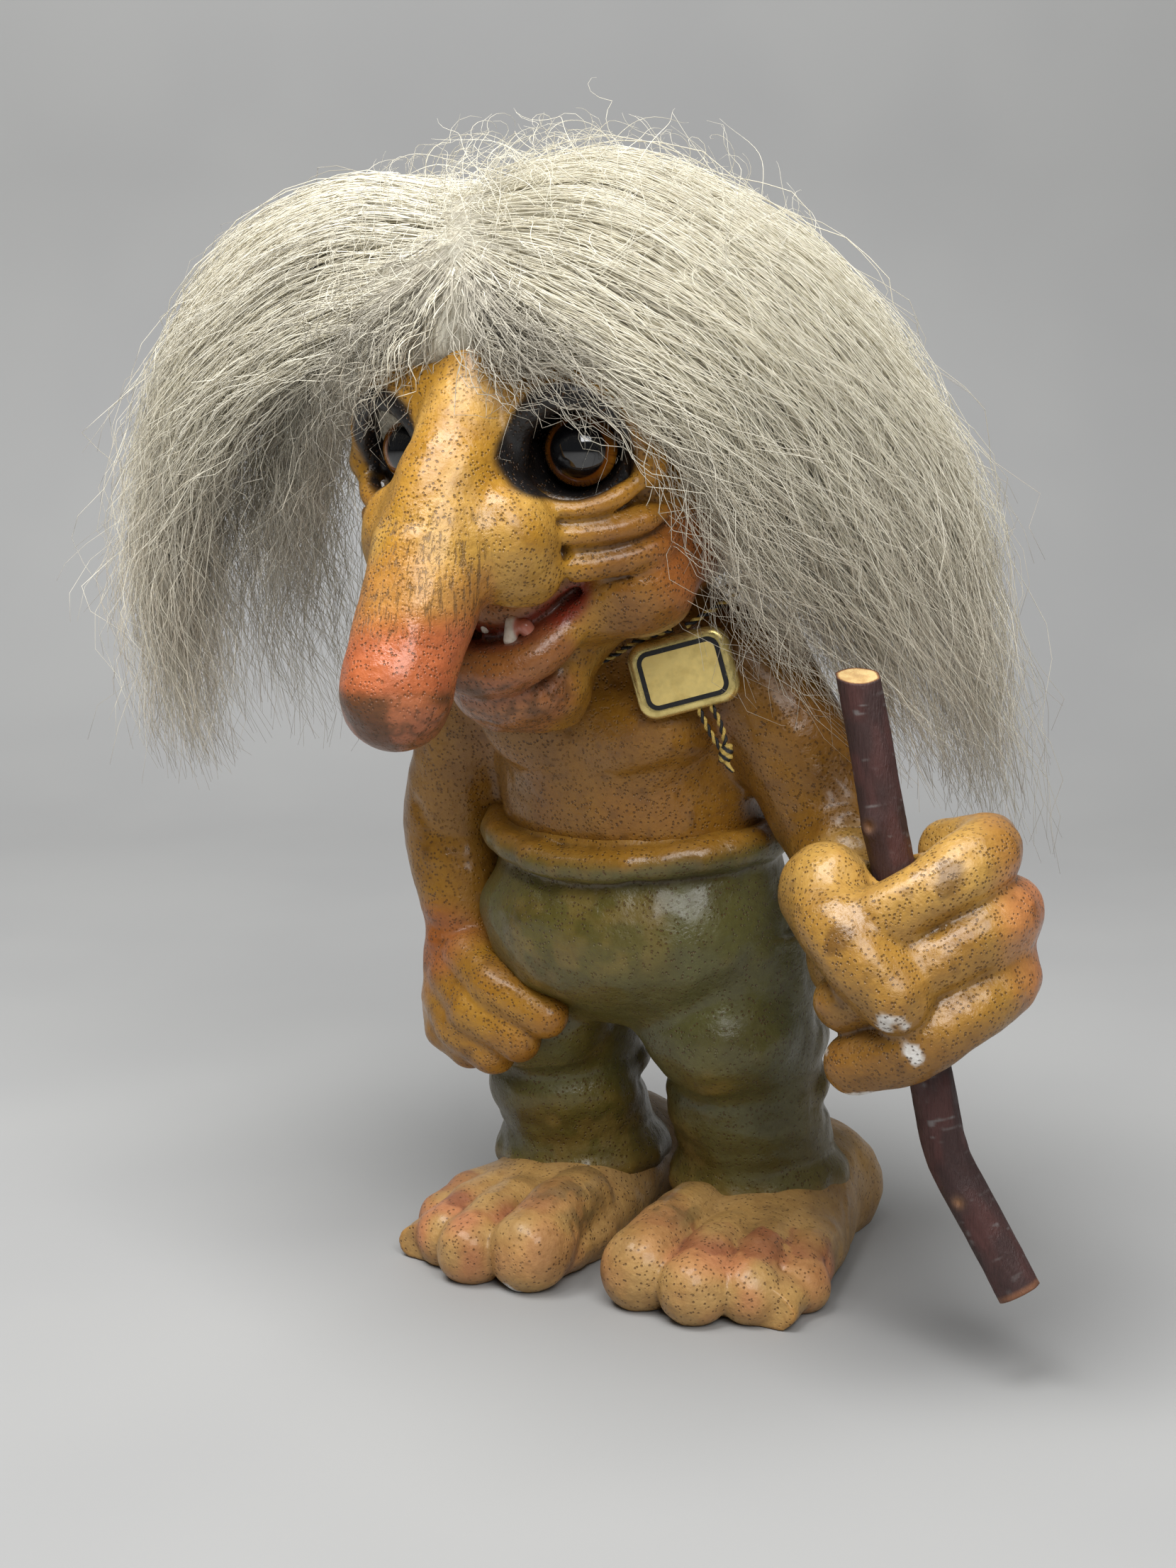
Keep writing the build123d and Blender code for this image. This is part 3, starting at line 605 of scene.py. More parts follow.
def paint_head(points):
    """The head's paint: blush on nose and cheeks, sooty eyes, a cracked lip and a red mouth, with painted
    shade low on the face, under the nose and on the sides below the hair.
    """
    coat = Coat(points, OCHRE)
    x, y, z = points.T
    patches = cloud(points, 9.0, 11)
    # Painted shade: the lower face behind the muzzle is darkened.
    coat.brush(DEEP_OCHRE, 0.55 * fade(z, 150, 168) * fade(y, -66, -80))
    coat.brush(PALE_OCHRE, 0.5 * fade(y, -88, -78) * fade(patches, 0.3, -0.4))
    nose = rod(NOSE, NOSE_RADII)
    on_nose = coat.spot(nose, 1.0, 3.0)
    coat.brush(BLUSH, on_nose * fade(z + 3 * patches, 150, 161))
    coat.brush((0.55, 0.20, 0.07), 0.35 * on_nose * fade(z + 5 * patches, 160, 172))
    # Painted shade: the underside of the nose bulb is darkened to a deep red.
    underside_shade = fade(z + 2.2 * patches - 0.12 * (y + 108), 132.6, 136.0)
    coat.brush((0.17, 0.050, 0.020), 0.8 * underside_shade * fade(y, -98, -94))
    for _, sign in SIDES:
        eye = np.array(EYE_CENTRE) * (sign, 1, 1)
        facing = EYE_FACING * (sign, 1, 1)
        across = np.cross(facing, (0, 0, 1))
        out = points - eye
        u = out @ across * -sign
        w = out[:, 2]
        deep = out @ facing
        oval = np.sqrt((u / 12.4) ** 2 + (np.where(w > 0, w / 13.0, w / 10.0)) ** 2)
        coat.brush(SOOT, fade(oval + 0.05 * patches, 0.94, 1.06) * fade(deep, -4, -12))
        blush = ball((sign * 34, -55, 166), (9, 9, 8))
        # Painted shade: the side of the face below the hair is darkened.
        coat.brush((0.22, 0.085, 0.016), 0.7 * fade(sign * x, 30, 20) * fade(z, 172, 182))
        coat.brush(BLUSH, 0.4 * coat.spot(blush, -2, 7))
        coat.brush((0.5, 0.18, 0.05), 0.7 * coat.spot(ear_form(sign), 0.5, 3))
        crease = rod(sided([(17, -70, 157.5), (23, -66, 167)], sign), 1.0)
        coat.brush(BLOOD, 0.8 * coat.spot(crease, 0.5, 4.5))
    coat.brush((0.40, 0.14, 0.05), 0.6 * coat.spot(ball((0, -74, 157), (18, 8, 5)), 0, 4))
    mouth = rod(flow(MOUTH, 20), 2.2)
    coat.brush(BLOOD, 0.95 * coat.spot(mouth, 0.3, 2.4))
    lip = rod([(-13, -75, 146), (0, -79, 142), (13, -75, 146)], 4.5)
    coat.brush(LIP, 0.8 * coat.spot(lip, 1.0, 5.0))
    crack = np.abs(cloud(points, 2.4, 12))
    under = fade(z, 141.5, 144.5) * fade(y, -68, -62)
    coat.brush((0.34, 0.12, 0.05), 0.7 * under)
    coat.brush(BROWN, 0.7 * under * fade(crack, 0.02, 0.25))
    coat.brush(BROWN, 0.8 * under * fade(patches, 0.5, 0.15))
    streak = on_nose * fade(z, 172, 180) * fade(z, 156, 150) * fade(y, -92, -86)
    return coat.colours, streak


def add_head():
    points, quads = head_clay().surface()
    colours, streak = paint_head(points)
    values = {"paint": colours, "hollow": hollows(points, quads), "streak": streak}
    mesh = mesh_of("head_skin", points, quads, values)
    link("head_skin", mesh, face_latex, "figure", ("head", "head_foam"))


# Body skin: torso, arms, the open right hand and the left fist
TORSO_LEVELS = (
    ((0, -10, 99), 29, 24),
    ((0, -11, 107), 32, 26.5),
    ((0, -14.6, 127), 31, 25),
    ((0, -17, 142), 34, 24),
    ((0, -27, 164), 20, 17),
)
RIGHT_ARM = ((-32, -18, 141), (-41, -15, 122), (-49, -11, 100), (-46, -13, 86), (-43, -15, 73))
LEFT_ARM = ((32, -18, 141), (42, -18, 126), (52, -18, 109), (60, -25, 100), (68, -33, 92))
ARM_RADII = (13.4, 13, 12.5, 11.5, 9.8)
FINGERS = (
    ((-37, -23, 69), (-27, -28.5, 64.5), (-13, -29.5, 59.5)),
    ((-42, -22, 64), (-32, -28.5, 58.5), (-20, -29.5, 53)),
    ((-46, -19.5, 58.5), (-38, -26, 53.5), (-28.5, -27.5, 48.5)),
    ((-48.5, -15.5, 55), (-44, -21, 50.5), (-37.5, -23.5, 47.5)),
)
STAFF_TOP = np.array((67.0, -42.0, 143.0))
STAFF_BEND = np.array((88.0, -42.0, 46.5))
STAFF_FOOT = np.array((104.5, -42.0, 20.0))
STAFF_RADIUS = 4.7
STAFF_CLEARANCE = 0.5
FIST_HEIGHT = 87.0
KNUCKLE_DIRECTION = np.array((0.875, 0.485, 0.0))
FIST_CHIPS = (  # place in the grip and size
    ((-9, -24, -11), 2.2),
    ((-21, -5, -15), 2.6),
    ((-16, -9, -25), 3.0),
    ((-4, -19, -16), 1.0),
)
BODY_CREASES = (  # line, width and depth
    (((-22, -36, 118), (-8, -42, 115), (8, -42, 116), (24, -36, 120)), 2.2, 0.9),
    (((0, -42, 136), (1, -42, 122)), 2.5, 0.8),
    (((48, -30, 112), (56, -34, 112), (63, -30, 110)), 1.6, 0.9),
    (((44, -31, 124), (50, -31, 118), (53, -27, 112)), 2.0, 0.8),
    (((-52, -22, 105), (-48, -24, 99), (-41, -23, 96)), 1.8, 0.8),
    (((-51, -22, 76), (-44, -25, 75), (-36, -23, 77)), 1.5, 0.7),
)

staff_axis = unit(STAFF_TOP - STAFF_BEND)
fist_centre = STAFF_BEND + staff_axis * (FIST_HEIGHT - STAFF_BEND[2]) / staff_axis[2]
grip_across = unit(KNUCKLE_DIRECTION - staff_axis * (KNUCKLE_DIRECTION @ staff_axis))
grip_axes = np.array((grip_across, np.cross(staff_axis, grip_across), staff_axis))


def in_grip(points):
    """Points given across, behind and above the middle of the fist, in the figure's directions."""
    return fist_centre + np.asarray(points, float) @ grip_axes


def add_fist(clay):
    """Three fingers wrapped round the staff, with the thumb folded over them."""
    clay.join(ball(in_grip((0, 2, 0)), (17, 13, 20), grip_axes), 4.0)
    clay.join(ball(in_grip((-5, 9, 2)), (15, 14, 16), grip_axes), 5.0)
    for level, reach in ((14.5, 0.5), (1.5, 2.0), (-11.5, -1.0)):
        wrap = [
            (-15, -7, level - 7),
            (-5, -13.5, level - 4.5),
            (7 + reach, -13.5, level),
            (17 + reach, -8, level + 3.5),
            (19 + reach, 2, level + 4.5),
            (13 + reach, 11, level + 3.5),
        ]
        clay.join(rod(in_grip(flow(wrap, 16)), 7.1 - 0.8 * np.cos(np.linspace(0, pi, 16)) ** 2), 1.3)
    clay.join(ball(in_grip((9, -1, 1.5)), (16, 15.5, 18), grip_axes), 2.5)
    thumb = [(-15.5, 2, 15), (-14.5, -8.5, 10.5), (-11, -15, 3), (-6.5, -17.5, -4.5)]
    clay.join(rod(in_grip(flow(thumb, 12)), np.linspace(8.6, 7.4, 12)), 1.6)
    clay.join(ball(in_grip((-13, -1, 19)), (8, 8, 6.5), grip_axes), 4.0)
    clay.join(ball(in_grip((-3, -9, 1)), (10, 9, 15), grip_axes), 3.0)
    clay.cut(ball(in_grip((-1.5, -3, 27)), (7.5, 7.5, 8), grip_axes), 3.0)
    clay.crease(in_grip([(-2, -22, 12), (0, -24, 5), (-1, -25, -3), (-5, -25, -11)]), 1.6, 1.8)
    hole = in_grip([(0, 0, -45), (0, 0, 45)])
    clay.cut(rod(hole, STAFF_RADIUS + STAFF_CLEARANCE), 0.8)


def body_clay():
    clay = Clay((-68, -78, 36), (116, 26, 170), step=0.8)
    clay.join(stack(TORSO_LEVELS), 1.0)
    for route in (RIGHT_ARM, LEFT_ARM):
        radii = flow([(r,) for r in ARM_RADII], 20)[:, 0]
        clay.join(rod(flow(route, 20), radii), 7.0)
    clay.join(ball((-42, -17.5, 64), (11.5, 8.5, 12.5)), 5.0)
    for finger in FINGERS:
        clay.join(rod(flow(finger, 10), np.linspace(6.6, 5.4, 10)), 1.2)
        clay.join(ball(finger[1], (6.4, 6.4, 6.0)), 1.5)
    add_fist(clay)
    clay.join(ball((14, -34, 128), (13, 9, 10)), 8.0)
    clay.join(ball((-12, -35, 128), (13, 9, 10)), 8.0)
    for line, width, depth in BODY_CREASES:
        clay.crease(line, width, depth)
    clay.roughen(11.0, 0.7, seed=21)
    clay.roughen(4.0, 0.22, seed=22)
    return clay


def paint_body(points):
    """Ochre skin, warmer at the knuckles and wrist, with dark spots and chalk chips on the fist, painted
    shade on the body and a painted highlight on the fist's top.
    """
    # Painted shade: the body's ochre is deeper than the head's.
    coat = Coat(points, (0.35, 0.165, 0.017))
    x, _, z = points.T
    patches = cloud(points, 10.0, 31)
    fine = cloud(points, 2.6, 32)
    # Painted shade on the torso under the head.
    coat.brush(DEEP_OCHRE, 0.6 * fade(np.abs(x), 34, 48) * fade(z, 95, 85))
    # The open hand, outside the painted shade, takes the head's ochre.
    coat.brush(OCHRE, 0.6 * fade(z, 72, 86) * fade(x, -20, 0))
    # Painted shade: the upper left arm, shaded by the hair, is darkened.
    coat.brush((0.18, 0.08, 0.010), 0.6 * fade(x, 36, 26) * fade(z, 108, 98))
    coat.brush((0.28, 0.115, 0.016), 0.5 * fade(patches, 0.6, 0.0))
    fist = ball(fist_centre, (27, 24, 27), grip_axes)
    on_fist = coat.spot(fist, 2, 8)
    coat.brush((0.36, 0.19, 0.036), on_fist * 0.9)
    # Painted highlight on the top of the fist and painted shade under it.
    coat.brush(PALE_OCHRE, on_fist * 0.6 * fade(z, fist_centre[2] + 22, fist_centre[2] + 6))
    coat.brush(DEEP_OCHRE, on_fist * 0.85 * fade(z, fist_centre[2] - 20, fist_centre[2] - 2))
    ends = (points - fist_centre) @ grip_axes[0]
    coat.brush((0.55, 0.22, 0.08), on_fist * 0.75 * fade(ends + 2 * patches, 22, 15))
    coat.brush((0.50, 0.15, 0.06), on_fist * 0.5 * fade(ends + 3 * patches, 26, 20))
    for centre in ((-15, -19, 8), (8, -20, 16)):
        mark = ball(in_grip(centre), (2.4, 3.5, 2.6), grip_axes)
        coat.brush(BROWN, 0.6 * fade(coat.gap(mark) + 1.4 * fine, 0.0, 1.4))
    for centre, size in FIST_CHIPS:
        chip = ball(in_grip(centre), (size * 1.3, size, size), grip_axes)
        coat.brush(CHALK, fade(coat.gap(chip) + 2.4 * fine, -0.2, 0.6))
    coat.brush(BLUSH, 0.55 * coat.spot(ball((-46, -20, 72), (7, 8, 6)), 0, 7))
    for finger in FINGERS:
        coat.brush((0.52, 0.20, 0.07), 0.45 * coat.spot(ball(finger[0], (5, 5, 5)), 0, 4))
    coat.brush(BROWN, 0.35 * fade(fine, 0.75, 0.5))
    return coat.colours


def add_body():
    points, quads = body_clay().surface()
    values = {"paint": paint_body(points), "hollow": hollows(points, quads)}
    mesh = mesh_of("body_skin", points, quads, values)
    nodes = ("torso", "arm_left", "arm_right", "hand_right", "fist_left", "body_foam")
    link("body_skin", mesh, skin_latex, "figure", nodes)


# Trousers: seat, belly, rolled waist and two legs with folds and rolled hems
SEAT_LEVELS = (
    ((0, -8, 57), 16, 15),
    ((0, -8, 66), 33, 25.5),
    ((0, -8, 80), 38.5, 31),
    ((0, -8, 92), 35, 29),
    ((0, -9, 100), 33, 28),
    ((0, -10.5, 105), 30, 25),
)
LEG_X = 23.5
RIGHT_STEP = 3.0  # of the right foot, ahead of the left
GROIN_CREASE = ((34, -33, 84), (27, -38, 73), (14, -36, 64), (5, -28, 58))  # on the left


def ring(centre, half_wide, half_deep, start, end, sag=0.0):
    """Points on part of a level oval, by angles from the figure's left towards its back."""
    x, y, z = centre
    turns = np.radians(np.linspace(start, end, 14))
    drop = sag * np.maximum(-np.sin(turns), 0) ** 2
    return np.stack([x + half_wide * np.cos(turns), y + half_deep * np.sin(turns), z - drop], 1)


def trouser_clay():
    clay = Clay((-54, -48, 7), (54, 42, 113), step=0.8)
    clay.join(stack(SEAT_LEVELS), 1.0)
    clay.join(ball((0, -19, 80), (31, 21, 19)), 6.0)
    clay.join(rod(ring((0, -10, 101.5), 33.8, 28.8, 0, 180), 3.8), 2.0)
    clay.join(rod(ring((0, -10, 101.5), 33.8, 28.8, 180, 360, 4.5), 4.0), 2.0)
    clay.crease(ring((0, -9, 95), 37, 32, 180, 360, 4.0), 1.6, 1.6)
    for side, sign in SIDES:
        x = sign * LEG_X
        step = RIGHT_STEP if side == "right" else 0.0
        levels = (
            ((x, 10 - step, 12.5), 18.6, 20.0),
            ((x, 10 - step, 19), 20.2, 21.8),
            ((x, 4.8 - step, 30), 18.0, 19.6),
            ((x, -3, 54), 19.2, 20.7),
            ((x, -5.5, 80), 17, 18.5),
        )
        clay.join(stack(levels), 2.0)
        clay.join(ball((x, -16, 56), (17.5, 12.5, 12.5)), 5.0)
        clay.join(rod(ring((x, 10 - step, 16.5), 17.8, 19.4, 0, 360), 4.2), 1.6)
        clay.join(rod(ring((x, 4 - step, 34), 14.8, 16.6, 170, 370), 4.0), 3.0)
        clay.crease(ring((x, 0, 44), 19.5, 21.5, 175, 365, 3.5), 2.4, 2.8)
        clay.crease(ring((x, 8 - step, 24.5), 20, 22, 170, 430, 1.5), 2.0, 1.6)
        clay.crease(ring((x, 3 - step, 36), 18, 20, 10, 150), 2.6, 1.6)
        clay.crease(ring((x, 0, 46), 19, 20, 20, 170), 2.4, 1.4)
        clay.crease(ring((x, -2, 60), 19, 20, 10, 160), 2.6, 1.5)
        clay.crease(ring((x, 2 - step, 41), 19, 20, 230, 330), 2.2, 0.9)
        clay.crease(ring((x, -2, 66), 19, 20, 215, 300), 1.8, 0.7)
        clay.join(rod(ring((x, 1, 41), 15.5, 17.5, 15, 150), 3.0), 3.0)
        clay.join(rod(ring((x, -1, 53), 16, 17.5, 10, 150), 3.2), 3.0)
        clay.crease(sided(GROIN_CREASE, sign), 2.4, 3.2)
    clay.cut(ball((0, -8, 118), (27, 22, 14)), 2.0)
    clay.roughen(12.0, 0.9, seed=41)
    clay.roughen(4.5, 0.3, seed=42)
    return clay


def paint_trousers(points, hollow):
    """Olive green worn to ochre, with the roll at the waist skin-coloured on top."""
    coat = Coat(points, OLIVE)
    _, y, z = points.T
    patches = cloud(points, 14.0, 51)
    fine = cloud(points, 3.0, 52)
    coat.brush(MOSS, fade(patches, 0.3, -0.3) * 0.7)
    coat.brush(WORN_OLIVE, 0.55 * fade(patches, -0.6, 0.0) * fade(fine, 0.4, -0.4))
    coat.brush(WORN_OLIVE, 0.55 * fade(hollow, -0.5, -0.1))
    coat.brush(WORN_OLIVE, 0.6 * fade(z + 2 * fine, 15, 21))
    coat.brush(WORN_OLIVE, 0.35 * fade(y, 4, -14))
    front = np.maximum(-(y + 10) / 30, 0) ** 2
    coat.brush((0.37, 0.18, 0.022), 0.9 * fade(z + 4 * front + patches, 105.0, 101.0))
    return coat.colours


def add_trousers():
    points, quads = trouser_clay().surface()
    hollow = hollows(points, quads)
    values = {"paint": paint_trousers(points, hollow), "hollow": hollow}
    mesh = mesh_of("trousers", points, quads, values)
    nodes = ("trousers_seat", "trouser_leg_left", "trouser_leg_right")
    link("trousers", mesh, trouser_latex, "figure", nodes)


# Feet
TOE_OUT = radians(3.0)
HEEL_Y = 46.0
HEEL_X = {"left": 28.0, "right": -19.0}
FOOT_LEVELS = (  # way along from the heel, half width and height
    (1.5, 9, 12),
    (8.5, 15, 23),
    (25.5, 16.5, 26.5),
    (51, 20.75, 20.5),
    (74, 23, 15),
    (86, 21.5, 12),
)
TOES = ((9.4, 95, -14.5), (8.0, 97, -0.5), (7.4, 91, 10.0), (6.6, 80, 18.0))  # radius, reach, place across
ANKLE_CREASES = ((38, 15, 17), (30, 16, 14), (46, 17, 13))  # way along, across and up


def foot_clay(side, sign):
    """A bare foot with four round toes and a flat sole, in its own directions."""
    step = RIGHT_STEP if side == "right" else 0.0
    heel = np.array((HEEL_X[side], HEEL_Y - step, 0.0))
    forward = np.array((sign * sin(TOE_OUT), -cos(TOE_OUT), 0.0))
    outward = np.array((sign * cos(TOE_OUT), sin(TOE_OUT), 0.0))

    def at(along, across, up):
        return heel + forward * along + outward * across + np.array((0, 0, up))

    x = HEEL_X[side]
    clay = Clay((x - 30, -58, -3), (x + 30, 52, 31), step=0.7)
    levels = [(at(along, 0, 0.35 * top), wide, 0.65 * top) for along, wide, top in FOOT_LEVELS]
    clay.join(stack(levels, along=1), 1.0)
    clay.join(ball(at(17, 0, 8), (16, 17, 13)), 4.0)
    for radius, reach, across in TOES:
        tip = at(reach - radius, across, radius - 1.2)
        knuckle = at(reach - 2.1 * radius, across * 0.94, 1.25 * radius + 1.0)
        root = at(reach - 3.6 * radius, across * 0.85, 1.1 * radius + 2.5)
        clay.join(rod((root, knuckle, tip), (radius * 0.8, radius * 0.82, radius)), 0.8)
        clay.join(ball(tip + (0, 0, 0.5), (radius * 1.02, radius * 1.0, radius * 0.95)), 0.8)
        fold = []
        for k in (-1, 0, 1):
            fold.append(at(reach - 1.65 * radius, across + k * radius, radius * (1.75 - 0.55 * abs(k))))
        clay.crease(fold, 1.2, 0.9)
    for along, across, up in ANKLE_CREASES:
        steps = ((-6, 0, 4), (0, 3, -2), (3, 5, -9))
        line = [at(along + a, across + b, up + c) for a, b, c in steps]
        clay.crease(line, 1.0, 0.7)
    clay.roughen(10.0, 0.5, seed=61 + sign)
    clay.roughen(3.5, 0.25, seed=63 + sign)
    sole = clay.axes[2][None, None, :]
    clay.values = np.maximum(clay.values, -sole)
    return clay, at


def paint_foot(points, at, sign):
    """Tan skin, with red toes whose paint flakes to brown, and a chalk chip."""
    coat = Coat(points, FOOT_TAN)
    patches = cloud(points, 8.0, 71 + sign)
    fine = cloud(points, 2.2, 73 + sign)
    coat.brush((0.26, 0.15, 0.05), 0.5 * fade(patches, 0.5, 0.0))
    coat.brush((0.44, 0.27, 0.10), 0.4 * fade(patches, -0.5, -0.1))
    coat.brush((0.17, 0.13, 0.05), 0.35 * fade(points[:, 2], 26, 14) * fade(patches, 0.3, -0.2))
    for number, (radius, reach, across) in enumerate(TOES):
        toe = ball(at(reach - radius * 1.3, across, radius), (radius, radius * 1.5, radius))
        redness = 0.4 if number == 0 else 0.9
        coat.brush((0.50, 0.20, 0.085), redness * coat.spot(toe, -1.0, 2.5) * fade(patches, 0.3, -0.5))
        top_radii = (radius * 0.75, radius * 0.8, radius * 0.7)
        top = ball(at(reach - 1.9 * radius, across, radius * 1.9), top_radii)
        worn = fade(coat.gap(top) + 1.8 * fine, 0.0, 1.0)
        coat.brush(FLAKE, worn * redness * fade(patches, 0.4, -0.8))
    scuff = coat.spot(ball(at(74, -15, 15), (8, 8, 5)), -1, 3)
    coat.brush((0.10, 0.075, 0.03), 0.6 * scuff * fade(fine, 0.3, -0.1))
    if sign < 0:
        chip = ball(at(93, -12, 0), (3.5, 3, 1.5))
        coat.brush(CHALK, fade(coat.gap(chip) + fine, 0.0, 0.8))
    return coat.colours


def add_feet():
    for side, sign in SIDES:
        clay, at = foot_clay(side, sign)
        points, quads = clay.surface()
        values = {"paint": paint_foot(points, at, sign), "hollow": hollows(points, quads)}
        mesh = mesh_of(f"foot_skin_{side}", points, quads, values)
        link(f"foot_skin_{side}", mesh, foot_latex, "figure", (f"foot_{side}",))


# Eyes: domes with a large dark pupil, an amber ring and a dark rim, all under one clear gloss
EYE_RADIUS = 7.4
PUPIL_SHARE = 0.54  # of the way from the dome's middle to its edge
GLANCE = {"left": radians(20), "right": radians(22)}  # towards the figure's left
EYE_SPAN = radians(115)  # from the dome's middle to its hidden edge
EYE_LEVELS = 30
EYE_AROUND = 72


def eye_gloss():
    nodes = Nodes("eye_gloss")
    out = nodes.read("ring", "Fac")
    turn = nodes.read("turn")
    streaks = nodes.noise(14.0, 4.0, 0.7, turn)
    amber = nodes.mix(nodes.ramp(streaks, 0.3, 0.75), (0.62, 0.24, 0.015), (0.20, 0.055, 0.006))
    amber = nodes.mix(nodes.ramp(out, PUPIL_SHARE, 0.8), (0.22, 0.06, 0.006), amber)
    pupil_edge = nodes.ramp(out, PUPIL_SHARE - 0.03, PUPIL_SHARE + 0.03)
    colour = nodes.mix(pupil_edge, (0.004, 0.004, 0.005), amber)
    colour = nodes.mix(nodes.ramp(out, 0.84, 0.92), colour, (0.012, 0.008, 0.006))
    dust = nodes.ramp(nodes.noise(900.0, 2.0), 0.62, 0.8, 0.03, 0.16)
    nodes.set(Base_Color=colour, Roughness=dust, Specular_IOR_Level=0.6)
    nodes.set(Coat_Weight=1.0, Coat_Roughness=0.02)
    return nodes.material


def add_eyes():
    material = eye_gloss()
    here = np.arange(EYE_AROUND)
    ahead = (here + 1) % EYE_AROUND
    last = 1 + EYE_LEVELS * EYE_AROUND
    front = np.stack([0 * here, 1 + here, 1 + ahead], 1)
    back = np.stack([0 * here + last, last - EYE_AROUND + ahead, last - EYE_AROUND + here], 1)
    quads = 1 + tube_faces(EYE_LEVELS, EYE_AROUND)
    faces = np.vstack([front, back, quads[:, [0, 3, 2]], quads[:, [0, 2, 1]]])
    for side, sign in SIDES:
        centre = np.array(EYE_CENTRE) * (sign, 1, 1)
        facing = np.array((sin(GLANCE[side]), -cos(GLANCE[side]), 0.0))
        across = np.cross(facing, (0, 0, 1))
        points = [centre + facing * EYE_RADIUS]
        rings = [0.0]
        turns = [(0.0, 0.0, 0.0)]
        for tilt in EYE_SPAN * np.arange(1, EYE_LEVELS + 1) / EYE_LEVELS:
            for angle in 2 * pi * here / EYE_AROUND:
                spoke = across * cos(angle) + np.array((0, 0, 1)) * sin(angle)
                points.append(centre + EYE_RADIUS * (facing * cos(tilt) + spoke * sin(tilt)))
                rings.append(min(tilt / radians(90), 1.0))
                turns.append((cos(angle), sin(angle), 0.08 * tilt))
        points.append(centre + facing * EYE_RADIUS * cos(EYE_SPAN))
        rings.append(1.0)
        turns.append((0.0, 0.0, 0.0))
        values = {"ring": np.array(rings), "turn": np.array(turns)}
        mesh = mesh_of(f"eye_{side}", np.array(points), faces, values)
        nodes = (f"eye_glass_{side}", f"eye_iris_{side}", f"eye_pupil_{side}")
        link(f"eye_{side}", mesh, material, "figure", nodes)


# Teeth: one blunt tooth with its gum, and the edge of a second
def enamel():
    nodes = Nodes("enamel")
    paint = nodes.read("paint")
    stain = nodes.ramp(nodes.noise(800.0, 4.0), 0.5, 0.8, 0.0, 0.5)
    nodes.set(Base_Color=nodes.mix(stain, paint, (0.42, 0.30, 0.16)), Roughness=0.22, Coat_Weight=0.5)
    nodes.set(Normal=nodes.bump(nodes.noise(900.0, 3.0), 0.25, 0.0006))
    return nodes.material


def add_teeth():
    clay = Clay((-8, -84, 142), (18, -66, 160), step=0.35)
    clay.join(rod([(6.4, -75.4, 153.6), (6.2, -76.4, 150.3)], (1.7, 1.4)), 0.6)
    clay.join(rod([(-0.6, -74.6, 154.0), (-0.4, -74.8, 152.2)], (1.5, 1.1)), 0.6)
    clay.join(rod([(8.8, -75.0, 153.0), (9.8, -74.6, 151.6)], (1.7, 1.5)), 0.6)
    points, quads = clay.surface()
    coat = Coat(points, (0.78, 0.73, 0.62))
    coat.brush((0.58, 0.20, 0.13), coat.spot(rod([(9.4, -75.0, 153.0), (11, -74.4, 150.4)], 2.2), 0.3, 1.2))
    mesh = mesh_of("tooth_row", points, quads, {"paint": coat.colours})
    link("tooth_row", mesh, enamel(), "figure", ("teeth",))


# Staff: a twig with its bark on, bent below the fist and sawn at both ends
STAFF_BEND_RADIUS = 30.0
SAW_NORMAL = staff_axis + np.array((0.3, -0.24, 0.0))
STAFF_ROWS = 320
STAFF_SIDES = 64
KNOTS = (  # way down from the top, angle, height and size
    (30.0, 250, 0.9, 3.0),
    (57.0, 40, 0.8, 3.5),
    (76.0, 285, 0.6, 3.0),
    (108.0, 265, 0.7, 3.0),
    (118.0, 120, 0.9, 3.5),
)
CUT_RINGS = (0.90, 0.84, 0.6, 0.35, 0.12, 0.01)  # on a sawn end, as shares of its radius
BARK = (0.040, 0.016, 0.014)


def staff_line():
    """Points down the middle of the staff, from its sawn top to its foot, and their ways down."""
    lower = unit(STAFF_FOOT - STAFF_BEND)
    half_turn = np.arccos(np.clip(-staff_axis @ lower, -1, 1)) / 2
    setback = STAFF_BEND_RADIUS * np.tan(half_turn)
    inward = unit(lower + staff_axis)
    middle = STAFF_BEND + inward * STAFF_BEND_RADIUS / np.cos(half_turn)
    start = STAFF_BEND + staff_axis * setback
    outward = (start - middle) / STAFF_BEND_RADIUS
    line = [STAFF_TOP]
    for angle in np.linspace(0, 2 * half_turn, 16):
        line.append(middle + STAFF_BEND_RADIUS * (outward * np.cos(angle) - staff_axis * np.sin(angle)))
    line.append(STAFF_FOOT)
    return spaced(np.array(line), STAFF_ROWS)


def wood():
    nodes = Nodes("bark")
    paint = nodes.read("paint")
    fibre = nodes.noise(1.0, 4.0, 0.65, nodes.stretched((2200.0, 2200.0, 260.0), (0, -12, 0)))
    colour = nodes.mix(nodes.ramp(fibre, 0.45, 0.75, 0.0, 0.55), paint, (0.25, 0.22, 0.21), "OVERLAY")
    rough = nodes.ramp(nodes.noise(300.0), 0.3, 0.7, 0.45, 0.75)
    nodes.set(Base_Color=colour, Roughness=rough, Normal=nodes.bump(fibre, 0.6, 0.0008))
    return nodes.material


